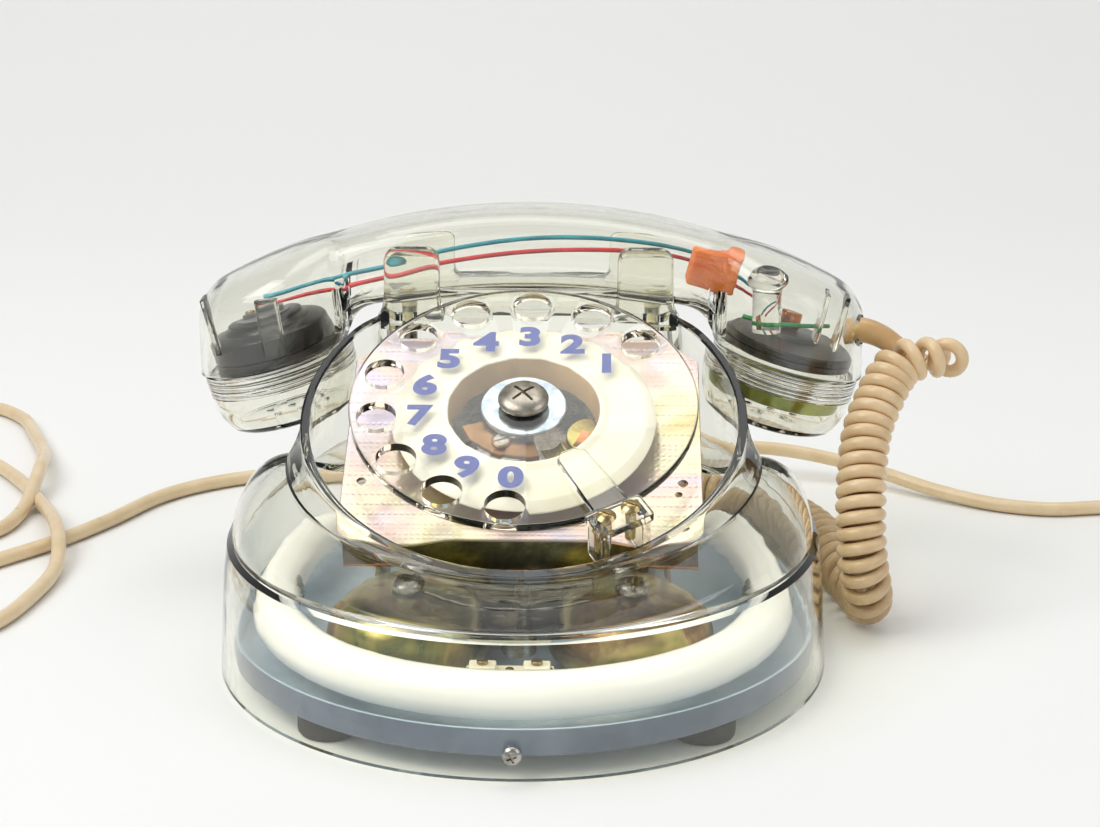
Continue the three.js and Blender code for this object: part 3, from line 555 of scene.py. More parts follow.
def combined(shape, *steps):
    """A mesh in metres: a shape in millimetres with others joined to it ("UNION") or cut from it
    ("DIFFERENCE"), one after the other."""
    solids = []
    for operation, (points, faces) in (("", shape), *steps):
        mesh = bpy.data.meshes.new("solid")
        mesh.from_pydata(metres(points).tolist(), [], faces)
        work = bmesh.new()
        work.from_mesh(mesh)
        bmesh.ops.remove_doubles(work, verts=work.verts, dist=1e-6)
        bmesh.ops.recalc_face_normals(work, faces=work.faces)
        work.to_mesh(mesh)
        work.free()
        solids.append(bpy.data.objects.new("solid", mesh))
        bpy.context.scene.collection.objects.link(solids[-1])
        if operation:
            modifier = solids[0].modifiers.new("step", "BOOLEAN")
            modifier.operation = operation
            modifier.solver = "MANIFOLD"
            modifier.object = solids[-1]
    seen = bpy.context.evaluated_depsgraph_get()
    made = bpy.data.meshes.new_from_object(solids[0].evaluated_get(seen))
    made.materials.clear()
    for solid in solids:
        bpy.data.objects.remove(solid)
    return made


def rod(radius, low, high, steps=32):
    """A round bar about Z."""
    return turned([[0, low], [radius, low], [radius, high], [0, high]], steps)


housing_acrylic = clear_acrylic("acrylic_housing", "D8D3A6", 9.0, 0.02, 0.25)

# levels of the case's rings, closest together at its edges and over the rounded shoulder
skirt_levels = [0, 0.01, *np.linspace(0.1, 0.9, 9).round(4), 0.96, 0.985, 1]
shoulder_levels = np.linspace(1.02, 2.98, 28).round(4)
wall_levels = [2, 2.1, 2.2, 2.35, 2.5, 2.65, 2.8, 2.9, 2.985]
up_levels = sorted({*skirt_levels, *shoulder_levels[np.abs(shoulder_levels - 2.025) > 0.025], *wall_levels})
outer = [(level, 0.0) for level in up_levels] + [(3.0, 0.5)]
inner = [(3.0, WALL - 0.5)] + [(level, WALL) for level in reversed(up_levels)]
CASE_AROUND = 216
case_skin = skin(np.array([case_ring(level, inset, CASE_AROUND) for level, inset in outer + inner]), "joined")

deck_half = np.array([[60, 40.4], [68, 46.8], [90, 47.2], [100.5, 44], [104.2, 34]])
deck_plan = np.vstack([deck_half[:, ::-1], (deck_half * (1, -1))[::-1, ::-1]])
deck = skin(np.stack([np.column_stack([deck_plan, np.full(len(deck_plan), z)])
                      for z in (DECK_Z - WALL, DECK_Z - 0.1)]))


HORN_TOP = 119.0
HORN_HALF = 9.2
HORN_ROUND = 5.0


def horn(x, y, half_y):
    """A solid cradle horn: rounded on top and curving out at its foot."""
    a = np.linspace(0.0, math.pi / 2, 8)
    rise = np.array([96, 97, 98.5, 100.5, 104, 109])
    heights = np.concatenate([[92.0], rise, HORN_TOP - HORN_ROUND + HORN_ROUND * np.sin(a)])
    foot = np.concatenate([[2.2], 2.2 * np.exp(-(rise - 96) / 2.6), np.zeros(len(a))])
    over = np.concatenate([np.zeros(len(rise) + 1), 1 - np.cos(a)])
    half_x = HORN_HALF + foot - 4.6 * over
    rings = stack(heights, half_x, half_y + foot * 0.5 - (half_y - 0.4) * over, 5.0, 48)
    return skin(rings + (x, y, 0.0))


horn_places = [(side * x, y, half) for side in (-1, 1) for x, y,
               half in ((38.6, 59.95, 3.95), (36, 100.2, 4.1))]
lip = rounded_box((76, 11.5, 3.2), 1.3, 10.0, 96)
lip = moved(lip, place(0, 61.6, 98.7, turn_x=90))
cord_way = rod(5.3, -12, 12)
screw_way = rod(2.2, -8, 8)
steps = [("UNION", deck), ("UNION", lip)]
steps += [("UNION", horn(x, y, half)) for x, y, half in horn_places]
steps += [("DIFFERENCE", moved(rod(3.0, 90, 98), place(x, HANDSET_Y))) for x in (-PLUNGER_X, PLUNGER_X)]
steps += [("DIFFERENCE", moved(cord_way, place(x, BASE_REAR - 4, EXIT_Z, turn_x=90)))
          for x in (CURL_X, LINE_X, MAINS_X)]
steps += [("DIFFERENCE", moved(screw_way, place(0, y, SCREW_Z, turn_x=90))) for y in (-BASE_R, BASE_REAR)]
finish_piece("clear_case", combined(case_skin, *steps), housing_acrylic, "body", "housing_shell",
             "clear_acrylic")

# ---------- base pan, feet and case screws ----------
# The pan is pressed steel, painted grey-blue, and closes the case from below. It stands on four rubber
# feet, and a screw in front and one behind hold the case to it.

PAN_SCALE = 0.952
PAN_FLOOR = 6.6
PAN_RIM = 15.4


# Stoved grey-blue enamel, satin, with a fine orange peel, dust and a few rubbed marks.
def blue_enamel(name, dark, middle, light):
    made, tree, at = new_material(name)
    mottle = add(tree, "TexNoise", Vector=at, Scale=35.0, Detail=5.0, Roughness=0.65)
    colour = ramp(tree, mottle.outputs["Fac"], (0.3, dark), (0.5, middle), (0.72, light))
    peel = add(tree, "TexNoise", Vector=at, Scale=850.0, Detail=2.0)
    rough = add(tree, "MapRange", Value=mottle.outputs["Fac"], To_Min=0.28, To_Max=0.5)
    shade(tree, Base_Color=colour, Metallic=0.15, Roughness=rough.outputs[0],
          Normal=bump_of(tree, peel.outputs["Fac"], 0.02, 0.3), Coat_Weight=0.25, Coat_Roughness=0.25)
    return made


enamel = blue_enamel("enamel_blue_grey", "8CA2B6", "A6BACB", "BCCCD9")


def pan_ring(inset, height, around=160):
    turn = np.linspace(0.0, 2 * math.pi, around, endpoint=False)
    return np.column_stack([base_outline(turn, PAN_SCALE - inset / BASE_R), np.full(around, height)])


pan_profile = [(5.0, PAN_FLOOR), (1.2, PAN_FLOOR), (0.3, PAN_FLOOR + 0.5), (0.0, PAN_FLOOR + 1.6),
               (0.0, 14.6),
               (0.25, 15.2), (0.8, PAN_RIM), (1.3, 15.1), (1.5, 14.4), (1.5, PAN_FLOOR + 2.6),
               (2.0, PAN_FLOOR + 1.7), (3.0, PAN_FLOOR + 1.4), (5.0, PAN_FLOOR + 1.4)]
pan = piece("pan", *skin(np.array([pan_ring(*row) for row in pan_profile])), enamel, "body", "base_pan",
            "blue_grey_pan")
# Painted shade: the pan's outer rim wall, under the clear case, gets a darker slate copy of its enamel.
pan.data.materials.append(blue_enamel("enamel_slate_painted_shade", "4F5B6E", "66738A", "7C89A0"))
painted_shade_rim = np.array([face.center[2] * 1000.0 < PAN_RIM - 0.4 and abs(face.normal[2]) < 0.5
                       and face.normal.xy @ face.center.xy > 0 for face in pan.data.polygons])
pan.data.polygons.foreach_set("material_index", painted_shade_rim.astype(np.int32).tolist())


# Black rubber, moulded: matt, dusty, with a dished face that grips the table.
def black_rubber():
    made, tree, at = new_material("rubber_black")
    dust = add(tree, "TexNoise", Vector=at, Scale=300.0, Detail=5.0, Roughness=0.7)
    colour = ramp(tree, dust.outputs["Fac"], (0.4, "15120F"), (0.75, "2A2622"))
    shade(tree, Base_Color=colour, Roughness=0.75, Normal=bump_of(tree, dust.outputs["Fac"], 0.05, 0.5))
    return made


rubber = black_rubber()
foot_outline = [[0, 0.4], [4, 0.3], [5.5, 0], [7.6, 0], [8.4, 0.3], [9.0, 1.1], [9.2, 2.0], [9.2, 5.6],
                [8.9, 6.2],
                [8.4, 6.3], [0, 6.3]]
for n, (x, y) in enumerate(((55, -60), (-55, -60), (58, 72), (-58, 72)), 1):
    piece(f"foot_{n}", *turned(foot_outline, 48), rubber, "body", f"rubber_foot_{n}", "black_rubber",
          place(x, y))


def cross_recess(turn, top, depth, width, reach):
    """The two crossed cutters of a cross-head screw's recess, the first turned by that angle."""
    arm = rounded_box((2 * reach, width, depth), width * 0.3, 8.0, 16)
    return [("DIFFERENCE", moved(arm, place(0, 0, top, turn_z=angle))) for angle in (turn, turn + 90)]


def placed_mesh(matrix, shape, *steps):
    """A combined mesh laid out about its own axis, then placed by a matrix."""
    return combined(moved(shape, matrix), *[(operation, moved(part, matrix)) for operation, part in steps])


screw_steel = nickel("steel_screws", "BDBAB2", "7E7A72", 0.24)
pan_head = turned([[0, 2.0], [0.8, 1.97], [1.6, 1.75], [2.3, 1.35], [2.75, 0.9], [2.9, 0.5], [2.8, 0.3],
                   [1.5, 0.3],
                   [1.5, -4.0], [1.2, -4.2], [0, -4.2]], 48)
for word, y, tilt in (("front", -BASE_R, 90), ("rear", BASE_REAR, -90)):
    head = placed_mesh(place(0, y, SCREW_Z, turn_x=tilt), pan_head, *cross_recess(20, 2.0, 2.2, 0.62, 1.6))
    finish_piece(f"case_screw_{word}_turned", head, screw_steel, "body", f"case_screw_{word}", "bright_steel")

# ---------- ring lamp ----------
# A circline fluorescent tube of opal glass follows the base, clipped at each side of the pan, with its
# two caps in a cream moulded holder behind.

TUBE_R = 7.2
TUBE_SCALE = 0.815
TUBE_Z = 20.0
TUBE_REAR = 0.93


# Glass coated white on the inside: glossy outside, even and slightly warm underneath. A faint painted glow is
# added: the tube is not lit, and its emission only brightens it.
def opal_glass():
    made, tree, at = new_material("opal_lamp_glass")
    film = add(tree, "TexNoise", Vector=at, Scale=25.0, Detail=3.0)
    colour = ramp(tree, film.outputs["Fac"], (0.3, "F1F1EC"), (0.7, "FBFBF8"))
    shade(tree, Base_Color=colour, Roughness=0.32, IOR=1.5, Coat_Weight=0.8, Coat_Roughness=0.03,
          Emission_Color=linear("FFFFFF"), Emission_Strength=0.12)
    return made


def cream_plastic(name, light, dark, rough):
    made, tree, at = new_material(name)
    mottle = add(tree, "TexNoise", Vector=at, Scale=80.0, Detail=4.0)
    colour = ramp(tree, mottle.outputs["Fac"], (0.3, dark), (0.7, light))
    fine = add(tree, "TexNoise", Vector=at, Scale=1500.0, Detail=2.0)
    shade(tree, Base_Color=colour, Roughness=rough, IOR=1.5,
          Normal=bump_of(tree, fine.outputs["Fac"], 0.01, 0.3))
    return made


lamp_turn = np.radians(np.linspace(97, 443, 120))
lamp_xy = base_outline(lamp_turn, TUBE_SCALE)
lamp_xy[:, 1] *= np.where(lamp_xy[:, 1] > 0, TUBE_REAR, 1.0)
lamp_path = np.column_stack([lamp_xy, np.full(len(lamp_xy), TUBE_Z)])
piece("lamp_ring", *swept(lamp_path, TUBE_R, 40), opal_glass(), "body", "lamp_tube", "lamp_glass")

# Cream urea plastic, semi-gloss.
cream_moulding = cream_plastic("cream_moulding", "EFE9D4", "E4DCC2", 0.35)
lamp_end_x, lamp_end_y = -lamp_xy[0, 0], lamp_xy[0, 1]
socket_half = lamp_end_x - 1.8
cap_outline = [[0, 0], [7.4, 0], [8.2, 0.8], [8.2, 5.2], [7.4, 6], [0, 6]]
lamp_holder = together(
    moved(turned(cap_outline, 40), place(socket_half - 6, lamp_end_y, TUBE_Z, turn_y=90)),
    moved(turned(cap_outline, 40), place(-socket_half, lamp_end_y, TUBE_Z, turn_y=90)),
    moved(rounded_box((10, 12, 2 * socket_half - 11), 1.0, 9.0, 48), place(0, lamp_end_y, TUBE_Z, turn_y=90)))
piece("lamp_holder", *lamp_holder, cream_moulding, "body", "lamp_socket", "cream_plastic")

# Spring clips of plated steel strip grip the tube from below, one at each side, and stand on the pan.
def ribbon(line, across, width, thick):
    """A flat strip along a line, as wide as that in the cross direction."""
    ahead = np.gradient(line, axis=0)
    ahead /= np.linalg.norm(ahead, axis=1, keepdims=True)
    across = np.broadcast_to(np.asarray(across, float), line.shape)
    normal = np.cross(ahead, across)
    corners = ((1, 1), (-1, 1), (-1, -1), (1, -1))
    return skin(np.stack([line + across * (a * width / 2) + normal * (b * thick / 2) for a, b in corners],
                         axis=1))


grip = np.radians(np.linspace(-215, 35, 36))
clip_line = np.column_stack([(TUBE_R + 0.6) * np.cos(grip), np.zeros(len(grip)),
                             (TUBE_R + 0.6) * np.sin(grip)])
clip_stem = np.array([[0, 0, z] for z in np.linspace(PAN_FLOOR + 1.4 - TUBE_Z, -TUBE_R - 0.6, 4)])
clip = together(ribbon(clip_line, (0, 1, 0), 7.0, 0.6), ribbon(clip_stem, (0, 1, 0), 7.0, 0.8))
for side in (-1, 1):
    piece(f"lamp_clip_{'right' if side > 0 else 'left'}", *clip, screw_steel, "body", (), "bright_steel",
          place(side * BASE_R * TUBE_SCALE, 0, TUBE_Z))

# ---------- dial ----------
# Everything on the dial's tilted axis: wheel, screw, hub plate, spindle, number dish, cam, contacts,
# chassis plate, governor and finger stop. Heights here are above the wheel's top face.

DIAL = place(*DIAL_AT, turn_x=math.degrees(DIAL_TILT))
WHEEL_R = 55.0
WHEEL_T = 3.0
HOLE_R = 6.3
HOLE_RING_R = 46.5
FIRST_HOLE = 37.6
HOLE_STEP = 25.24
hole_turns = [math.radians(FIRST_HOLE + HOLE_STEP * n) for n in range(10)]


def rounded_disc(radius, low, high, edge, steps=64):
    """A disc about Z with its rims rounded."""
    a = np.linspace(0.0, math.pi / 2, 5)
    lower = [[radius - edge + edge * math.sin(t), low + edge - edge * math.cos(t)] for t in a]
    return turned([[0, low], *lower, *[[r, high + low - z] for r, z in reversed(lower)], [0, high]], steps)


# Clear acrylic, tinted brown at its polished edges by age, as the wheel's rim and finger holes are.
def edge_acrylic():
    made, tree, at = new_material("acrylic_wheel_edge")
    stain = add(tree, "TexNoise", Vector=at, Scale=60.0, Detail=4.0, Roughness=0.6)
    colour = ramp(tree, stain.outputs["Fac"], (0.35, "C9B190"), (0.6, "EFE9DA"))
    glass = add(tree, "BsdfPrincipled", Base_Color=colour, Roughness=0.08, IOR=1.49, Transmission_Weight=1.0)
    add(tree, "OutputMaterial", Surface=lit_through(tree, glass, "EDE6D6"))
    return made


wheel_acrylic = clear_acrylic("acrylic_wheel", "DCDAB8", 7.0, 0.015, 0.05)
wheel_steps = []
for a in hole_turns:
    at_hole = place(HOLE_RING_R * math.cos(a), HOLE_RING_R * math.sin(a))
    wheel_steps.append(("DIFFERENCE", moved(rod(HOLE_R, -WHEEL_T - 2, 2.0, 64), at_hole)))
wheel_steps.append(("DIFFERENCE", rod(3.4, -6, 2, 32)))
wheel = finish_piece("wheel", placed_mesh(DIAL, rounded_disc(WHEEL_R, -WHEEL_T, 0.0, 0.7, 192), *wheel_steps),
                     wheel_acrylic, "dial", "finger_wheel", "clear_acrylic", 30.0, 0.35)
wheel.data.materials.append(edge_acrylic())
mesh = wheel.data
flat_share = np.array([face.normal[:] for face in mesh.polygons]) @ DIAL[:3, 2]
mesh.polygons.foreach_set("material_index", (np.abs(flat_share) < 0.3).astype(np.int32).tolist())

# Digits printed in blue on the back of the wheel, upright, each inside its hole.
# Screen ink: flat royal blue, slightly uneven in cover.
def blue_ink():
    made, tree, at = new_material("ink_blue")
    cover = add(tree, "TexNoise", Vector=at, Scale=400.0, Detail=3.0)
    colour = ramp(tree, cover.outputs["Fac"], (0.35, "0C2A90"), (0.65, "14389E"))
    shade(tree, Base_Color=colour, Roughness=0.45, Normal=bump_of(tree, cover.outputs["Fac"], 0.02, 0.4))
    return made


ink = blue_ink()
DIGIT_HEIGHT = 8.4
DIGIT_WIDEN = 1.22
DIGIT_RING_R = 32.8
for n, a in enumerate(hole_turns, 1):
    text = bpy.data.curves.new(f"digit_{n % 10}", "FONT")
    text.body = str(n % 10)
    text.size = DIGIT_HEIGHT / 0.7 / 1000.0
    text.bevel_depth = 0.00062
    text.bevel_resolution = 1
    text.align_x = "CENTER"
    text.align_y = "CENTER"
    source = bpy.data.objects.new("digit", text)
    bpy.context.scene.collection.objects.link(source)
    seen = bpy.context.evaluated_depsgraph_get()
    shape = bpy.data.meshes.new_from_object(source.evaluated_get(seen))
    bpy.data.objects.remove(source)
    points = np.array([v.co for v in shape.vertices], float) * (1000.0 * DIGIT_WIDEN, 1000.0, 50.0)
    points -= ((points.max(axis=0) + points.min(axis=0)) / 2) * (1, 1, 0)
    corners = [list(face.vertices) for face in shape.polygons]
    digit_at = DIAL @ place(DIGIT_RING_R * math.cos(a), DIGIT_RING_R * math.sin(a), -WHEEL_T - 0.05)
    piece(f"printed_{n % 10}", points, corners, ink, "dial", (), None, digit_at)

# Hub screw: a shallow dome of satin nickel with a deep cross recess, holding the wheel on its spindle.
hub_nickel = nickel("nickel_satin", "B9B2A4", "857C6C", 0.3)
dome = [[8.0 * math.sin(t), 0.9 + 3.0 * math.cos(t)] for t in np.linspace(0.0, math.pi / 2, 14)]
hub_outline = [*dome, [7.9, 0.5], [7.5, 0.3], [2.8, 0.3], [2.8, -3.1], [0, -3.1]]
hub = placed_mesh(DIAL, turned(hub_outline, 64), *cross_recess(42, 3.4, 2.6, 1.0, 4.4))
finish_piece("hub_screw", hub, hub_nickel, "dial", "wheel_screw", "bright_steel")

# Hub plate: a polished chromed disc under the wheel's middle.
chrome = nickel("chrome_plate", "C9D3DE", "93A3B4", 0.1)
hub_disc = [[3.4, -4.4], [13.2, -4.4], [13.5, -4.1], [13.5, -3.6], [13.2, -3.3], [3.4, -3.3]]
piece("hub_disc", *turned(hub_disc, 80),
      chrome, "dial", "hub_plate", "bright_steel", DIAL)

# Spindle with the big gear of the return spring, cut from steel.
teeth = np.linspace(0.0, 2 * math.pi, 240, endpoint=False)
tooth_r = 15.2 + 0.5 * np.clip(1.6 * np.sin(60 * teeth), -1, 1)
gear = skin(np.array([np.column_stack([tooth_r * np.cos(teeth), tooth_r * np.sin(teeth), np.full(240, z)])
                      for z in (-25.0, -22.6)]))
steel = nickel("steel_turned", "B7B4AE", "77736C", 0.28)
piece("spindle", *together(rounded_disc(3.0, -29, -3.6, 0.3, 32), gear), steel, "dial", "dial_spindle",
      "bright_steel", DIAL)

# Number dish: cream melamine ring with a raised inner rim, its inner wall sunk in the middle coloured a
# darker tan.
dish_plastic = cream_plastic("melamine_cream", "F6F3E6", "EEE8D6", 0.22)
dish = piece("dish", *turned(
    [[22.4, -14], [23.8, -4.9], [24.1, -4.5], [24.6, -4.35], [25.2, -4.5], [26.4, -5.4], [27.2, -5.65],
     [38.2, -6],
     [38.8, -6.2], [40.9, -8.0], [40.9, -8.4], [39.6, -8.4], [37.8, -7.4], [26, -7.2], [24.2, -8.4],
     [23.8, -14]],
    128), dish_plastic, "dial", "number_dish", "cream_plastic", DIAL)
dish.data.materials.append(cream_plastic("melamine_tan", "C9A878", "AD8A5C", 0.4))
centres = np.array([face.center[:] for face in dish.data.polygons]) * 1000.0 - (0, CENTRE_Y, 0)
local = (centres - DIAL[:3, 3]) @ DIAL[:3, :3]
inner_wall = (np.hypot(local[:, 0], local[:, 1]) < 24.0) & (local[:, 2] < -4.8)
dish.data.polygons.foreach_set("material_index", inner_wall.astype(np.int32).tolist())


# Metals of the movement: brass, bronze and copper, dulled and finely scratched.
def old_metal(name, light, middle, dark, rough, scale=45.0):
    made, tree, at = new_material(name)
    tarnish = add(tree, "TexNoise", Vector=at, Scale=scale, Detail=6.0, Roughness=0.7, Distortion=0.4)
    colour = ramp(tree, tarnish.outputs["Fac"], (0.3, dark), (0.5, middle), (0.7, light))
    grain = add(tree, "TexNoise", Vector=at, Scale=1100.0, Detail=3.0)
    wear = add(tree, "MapRange", Value=tarnish.outputs["Fac"], To_Min=rough * 1.5, To_Max=rough * 0.6)
    shade(tree, Base_Color=colour, Metallic=1.0, Roughness=wear.outputs[0],
          Normal=bump_of(tree, grain.outputs["Fac"], 0.01, 0.35))
    return made


bronze = old_metal("bronze_cam", "B48A5A", "8F6A42", "5E4228", 0.3)
brass = old_metal("brass_clip", "D8CE8A", "C2B25E", "8E7A34", 0.25)
copper = old_metal("copper_spring", "D79A6B", "B87748", "7A4527", 0.25)


def extruded(outline, low, high, edge):
    """A plate about Z from its plan outline, with its rims eased by the edge."""
    o = np.asarray(outline, float)
    ahead = np.roll(o, -1, axis=0) - np.roll(o, 1, axis=0)
    out = np.column_stack([ahead[:, 1], -ahead[:, 0]])
    area = np.sum(o[:, 0] * np.roll(o[:, 1], -1) - np.roll(o[:, 0], -1) * o[:, 1])
    out *= np.sign(area) / np.maximum(np.linalg.norm(out, axis=1, keepdims=True), 1e-9)
    levels = [(low, edge), (low + edge, 0), (high - edge, 0), (high, edge)]
    points = np.vstack([np.column_stack([o - out * inset, np.full(len(o), z)]) for z, inset in levels])
    n, rows = len(o), len(levels)
    faces = [[j * n + i, j * n + (i + 1) % n, (j + 1) * n + (i + 1) % n, (j + 1) * n + i]
             for j in range(rows - 1) for i in range(n)]
    return points, [*faces, list(range(n))[::-1], list(range((rows - 1) * n, rows * n))]


# Pulse cam: a bronze crescent with its fixing screw.
sweep = np.radians(np.linspace(200, 285, 40))
crescent = np.vstack([20.5 * np.column_stack([np.cos(sweep), np.sin(sweep)]),
                      12.6 * np.column_stack([np.cos(sweep), np.sin(sweep)])[::-1]])
cam = together(extruded(crescent, -7.4, -5.8, 0.25),
               moved(rounded_disc(3.0, -6.6, -4.8, 0.4, 40), place(-6.6, -14.2)))
piece("cam_crescent", *cam, bronze, "dial", "pulse_cam", "yellow_zinc", DIAL)
slot_cut = moved(rounded_box((7, 0.7, 1.4), 0.2, 8.0, 16), place(-6.6, -14.2, -4.7, turn_z=25))
cam_screw = placed_mesh(DIAL, moved(rounded_disc(2.6, -5.4, -4.6, 0.3, 40), place(-6.6, -14.2)),
                        ("DIFFERENCE", slot_cut))
finish_piece("cam_screw", cam_screw, steel, "dial", (), "bright_steel")

# Contact clip of folded brass strip, and the copper contact beside it.
fold = np.array([[-4.4, 0, 0.6], [-2.6, 0, 0.1], [-0.4, 0, -0.3], [1.6, 0, 0.2], [2.6, 0, 0.8],
                 [3.4, 0, 0.2], [4.4, 0, -0.6]])
folded = ribbon(smooth_line(fold, 0.3), (0, 1, 0), 4.2, 0.45)
piece("brass_contact", *folded, brass, "dial", "contact_clip", "gong_brass",
      DIAL @ place(10.4, -13.6, -9.6, turn_z=math.degrees(0.5)))
leaf = smooth_line(np.array([[0, -3.4, 0.1], [0, -1.2, -0.2], [0, 1, 0.1], [0, 3.4, 0.4]]), 0.3)
piece("copper_contact", *ribbon(leaf, (1, 0, 0), 2.8, 0.5), copper, "dial", "contact_spring", "copper",
      DIAL @ place(18, -8, -9.6, turn_z=math.degrees(-0.4)))

# Chassis plate: pressed steel with a yellow passivated zinc coat, dimpled on its flat, with a wavy
# front edge folded down into a lip.
PLATE_Z = -13.2
PLATE_T = 1.2


def passivated_zinc(name, dimpled):
    made, tree, at = new_material(name)
    bands = add(tree, "TexNoise", Vector=at, Scale=22.0, Detail=3.0, Distortion=1.2)
    colour = ramp(tree, bands.outputs["Fac"], (0.28, "C9B77A"), (0.4, "E4DCC0"), (0.5, "DCC6BC"),
                  (0.6, "CFC7D6"),
                  (0.72, "E2D9A8"))
    height = add(tree, "TexNoise", Vector=at, Scale=500.0, Detail=3.0).outputs["Fac"]
    if dimpled:
        cell = add(tree, "TexVoronoi", {"voronoi_dimensions": "3D"}, Vector=at, Scale=520.0, Randomness=0.0)
        height = add(tree, "MapRange", Value=cell.outputs["Distance"], From_Min=0.15,
                     From_Max=0.45).outputs[0]
    shade(tree, Base_Color=colour, Metallic=0.85, Roughness=0.3, Normal=bump_of(tree, height, 0.12, 0.5))
    return made


dimpled_zinc = passivated_zinc("zinc_dimpled", True)
plain_zinc = passivated_zinc("zinc_passivated", False)


def arc(x, y, r, start, stop, count=8):
    """Points along an arc, in degrees."""
    t = np.radians(np.linspace(start, stop, count))
    return np.column_stack([x + r * np.cos(t), y + r * np.sin(t)])


def edge_wave(count=60):
    """Front edge of the plate from left to right: a shallow wave."""
    x = np.linspace(-49, 49, count)
    dip = np.clip((np.abs(x - 2) - 22) / 14, 0, 1)
    return np.column_stack([x, -48 - 2.4 * dip * dip * (3 - 2 * dip)])


plate_plan = np.vstack([arc(-50, -44.4, 6, 180, 265), edge_wave(), arc(50, -44.4, 6, 275, 360),
                        arc(54, 33, 2, 0, 45, 4), arc(44, 43, 2, 45, 90, 4), arc(-44, 43, 2, 90, 135, 4),
                        arc(-54, 33, 2, 135, 180, 4)])
plate_holes = [(0, 0, 29), (50, -23, 1.6), (48.6, -28, 1.2), (50, -43, 1.4), (-50, -23, 1.6)]
plate_cuts = [("DIFFERENCE", moved(rod(r, -20, -8, 64 if r > 9 else 20), place(x, y))) for x, y,
              r in plate_holes]
plate_mesh = placed_mesh(DIAL, extruded(plate_plan, PLATE_Z - PLATE_T, PLATE_Z, 0.25), *plate_cuts)
finish_piece("chassis_top", plate_mesh, dimpled_zinc, "dial", "chassis_plate", "yellow_zinc", 30.0)
lip_line = np.array([[x, -47.3 - 0.35 * math.sin(x * 0.12) ** 2, 0] for x in np.linspace(-54.5, 54.5, 60)])
lip_turned = lip_line + (0, 0.2, PLATE_Z - PLATE_T * 0.6)
fold_steps = [(0.0, 0.0), (-0.5, -0.25), (-0.7, -0.9), (-0.7, -6.0), (-0.7, -12.4), (-0.3, -13.2),
              (0.5, -13.4)]
lip_outer = [lip_turned + (0, dy, dz) for dy, dz in fold_steps]
lip_inner = [lip_turned + (0, dy + 0.9, dz + (0.7 if dz < -13 else 0)) for dy, dz in reversed(fold_steps)]
lip_rings = np.stack(lip_outer + lip_inner, axis=1)
olive = old_metal("zinc_olive", "A79F76", "6F6A4E", "3F3C2E", 0.35, 60.0)
piece("chassis_lip", *skin(lip_rings), olive, "dial", (), "yellow_zinc", DIAL)
trim_low = lip_turned + (0, -0.5, -13.3)
trim = old_metal("copper_edge", "E0A468", "C07E46", "8C5630", 0.2)
piece("chassis_lip_edge", *swept(trim_low, 0.55, 10), trim, "dial", (), "copper", DIAL)

# Case of the dial movement, and the governor in it, behind the plate.
piece("movement_case", *turned([[0, -33], [33.4, -33], [34, -32.4], [34, -14.9], [33.6, -14.7], [32.8, -14.7],
                                [32.8, -31.8], [0, -31.8]], 96), steel, "dial", "dial_case", "bright_steel",
                                DIAL)
GOVERNOR_X = 20.6
governor = together(rounded_disc(4.6, -26, -21.6, 0.4, 32), rounded_disc(8, -21.6, -15, 0.6, 48),
                    rounded_disc(1.4, -30.5, -25, 0.2, 20))
piece("governor_cup", *governor, brass, "governor", "governor", "gong_brass", DIAL @ place(GOVERNOR_X))

# Finger stop: clear acrylic tongue over the wheel, on a block with two posts and two slotted screws.
STOP = DIAL @ place(turn_z=-60.6)
stop_acrylic = clear_acrylic("acrylic_stop", "E2E0C6", 6.0, 0.015, 0.03)
tongue = np.vstack([[[29.2, -2.4], [31.5, -4.9]], arc(56, -5.0, 1.0, -90, 0, 3), arc(56, 5.0, 1.0, 0, 90, 3),
                    [[31.5, 4.9], [29.2, 2.4]]])
stop_mesh = placed_mesh(STOP, extruded(tongue, 1.2, 3.4, 0.4),
                        ("UNION", moved(rounded_box((10.5, 19, 3), 0.5, 10.0, 48), place(61.4, 0, 2.2))),
                        *[("UNION", moved(rounded_box((9, 3, 14.2), 0.4, 10.0, 48), place(61.4, y, -5.6)))
                          for y in (-7, 7)])
finish_piece("stop", stop_mesh, stop_acrylic, "body", "finger_stop", "clear_acrylic")
brass_screw = nickel("brass_screws", "CDB98A", "8F7748", 0.22)
stop_head = [[0, 5.4], [0.9, 5.35], [1.9, 5.0], [2.7, 4.5], [3.1, 4.15], [3.0, 4.0], [0, 4.0]]
for y, word in ((4.2, "a"), (-4.2, "b")):
    where = STOP @ place(60.8, y)
    driver = moved(rounded_box((8, 0.8, 1.6), 0.2, 8.0, 16), place(0, 0, 5.5, turn_z=35))
    finish_piece(f"stop_screw_head_{word}", placed_mesh(where, turned(stop_head, 40), ("DIFFERENCE", driver)),
                 brass_screw, "body", f"stop_screw_{word}", "bright_steel")
    thread = [[0, 3.9], *[[1.45 + 0.22 * (k % 2), 3.6 - 0.45 * k] for k in range(28)], [0, -9.2]]
    piece(f"stop_screw_shaft_{word}", *turned(thread, 24), brass_screw, "body", (), "bright_steel", where)

# ---------- handset ----------
# An arched handle and two round cups in one clear acrylic moulding, closed below by two screwed caps.
# Receiver, microphone, contact ring and a foam packing sit inside.

HANDSET_HALF = 113.0
HANDLE_HALF = 15.5
CUP_X = 87.5
CUP_R = 25.4
CUP_TILT = 15.0
SEAM_Z = 76.8
END_ROUND = 8.0


def seam_height(x):
    """Height of the seam between cup and cap at a side distance."""
    return SEAM_Z - (np.abs(x) - CUP_X) * math.tan(math.radians(CUP_TILT))


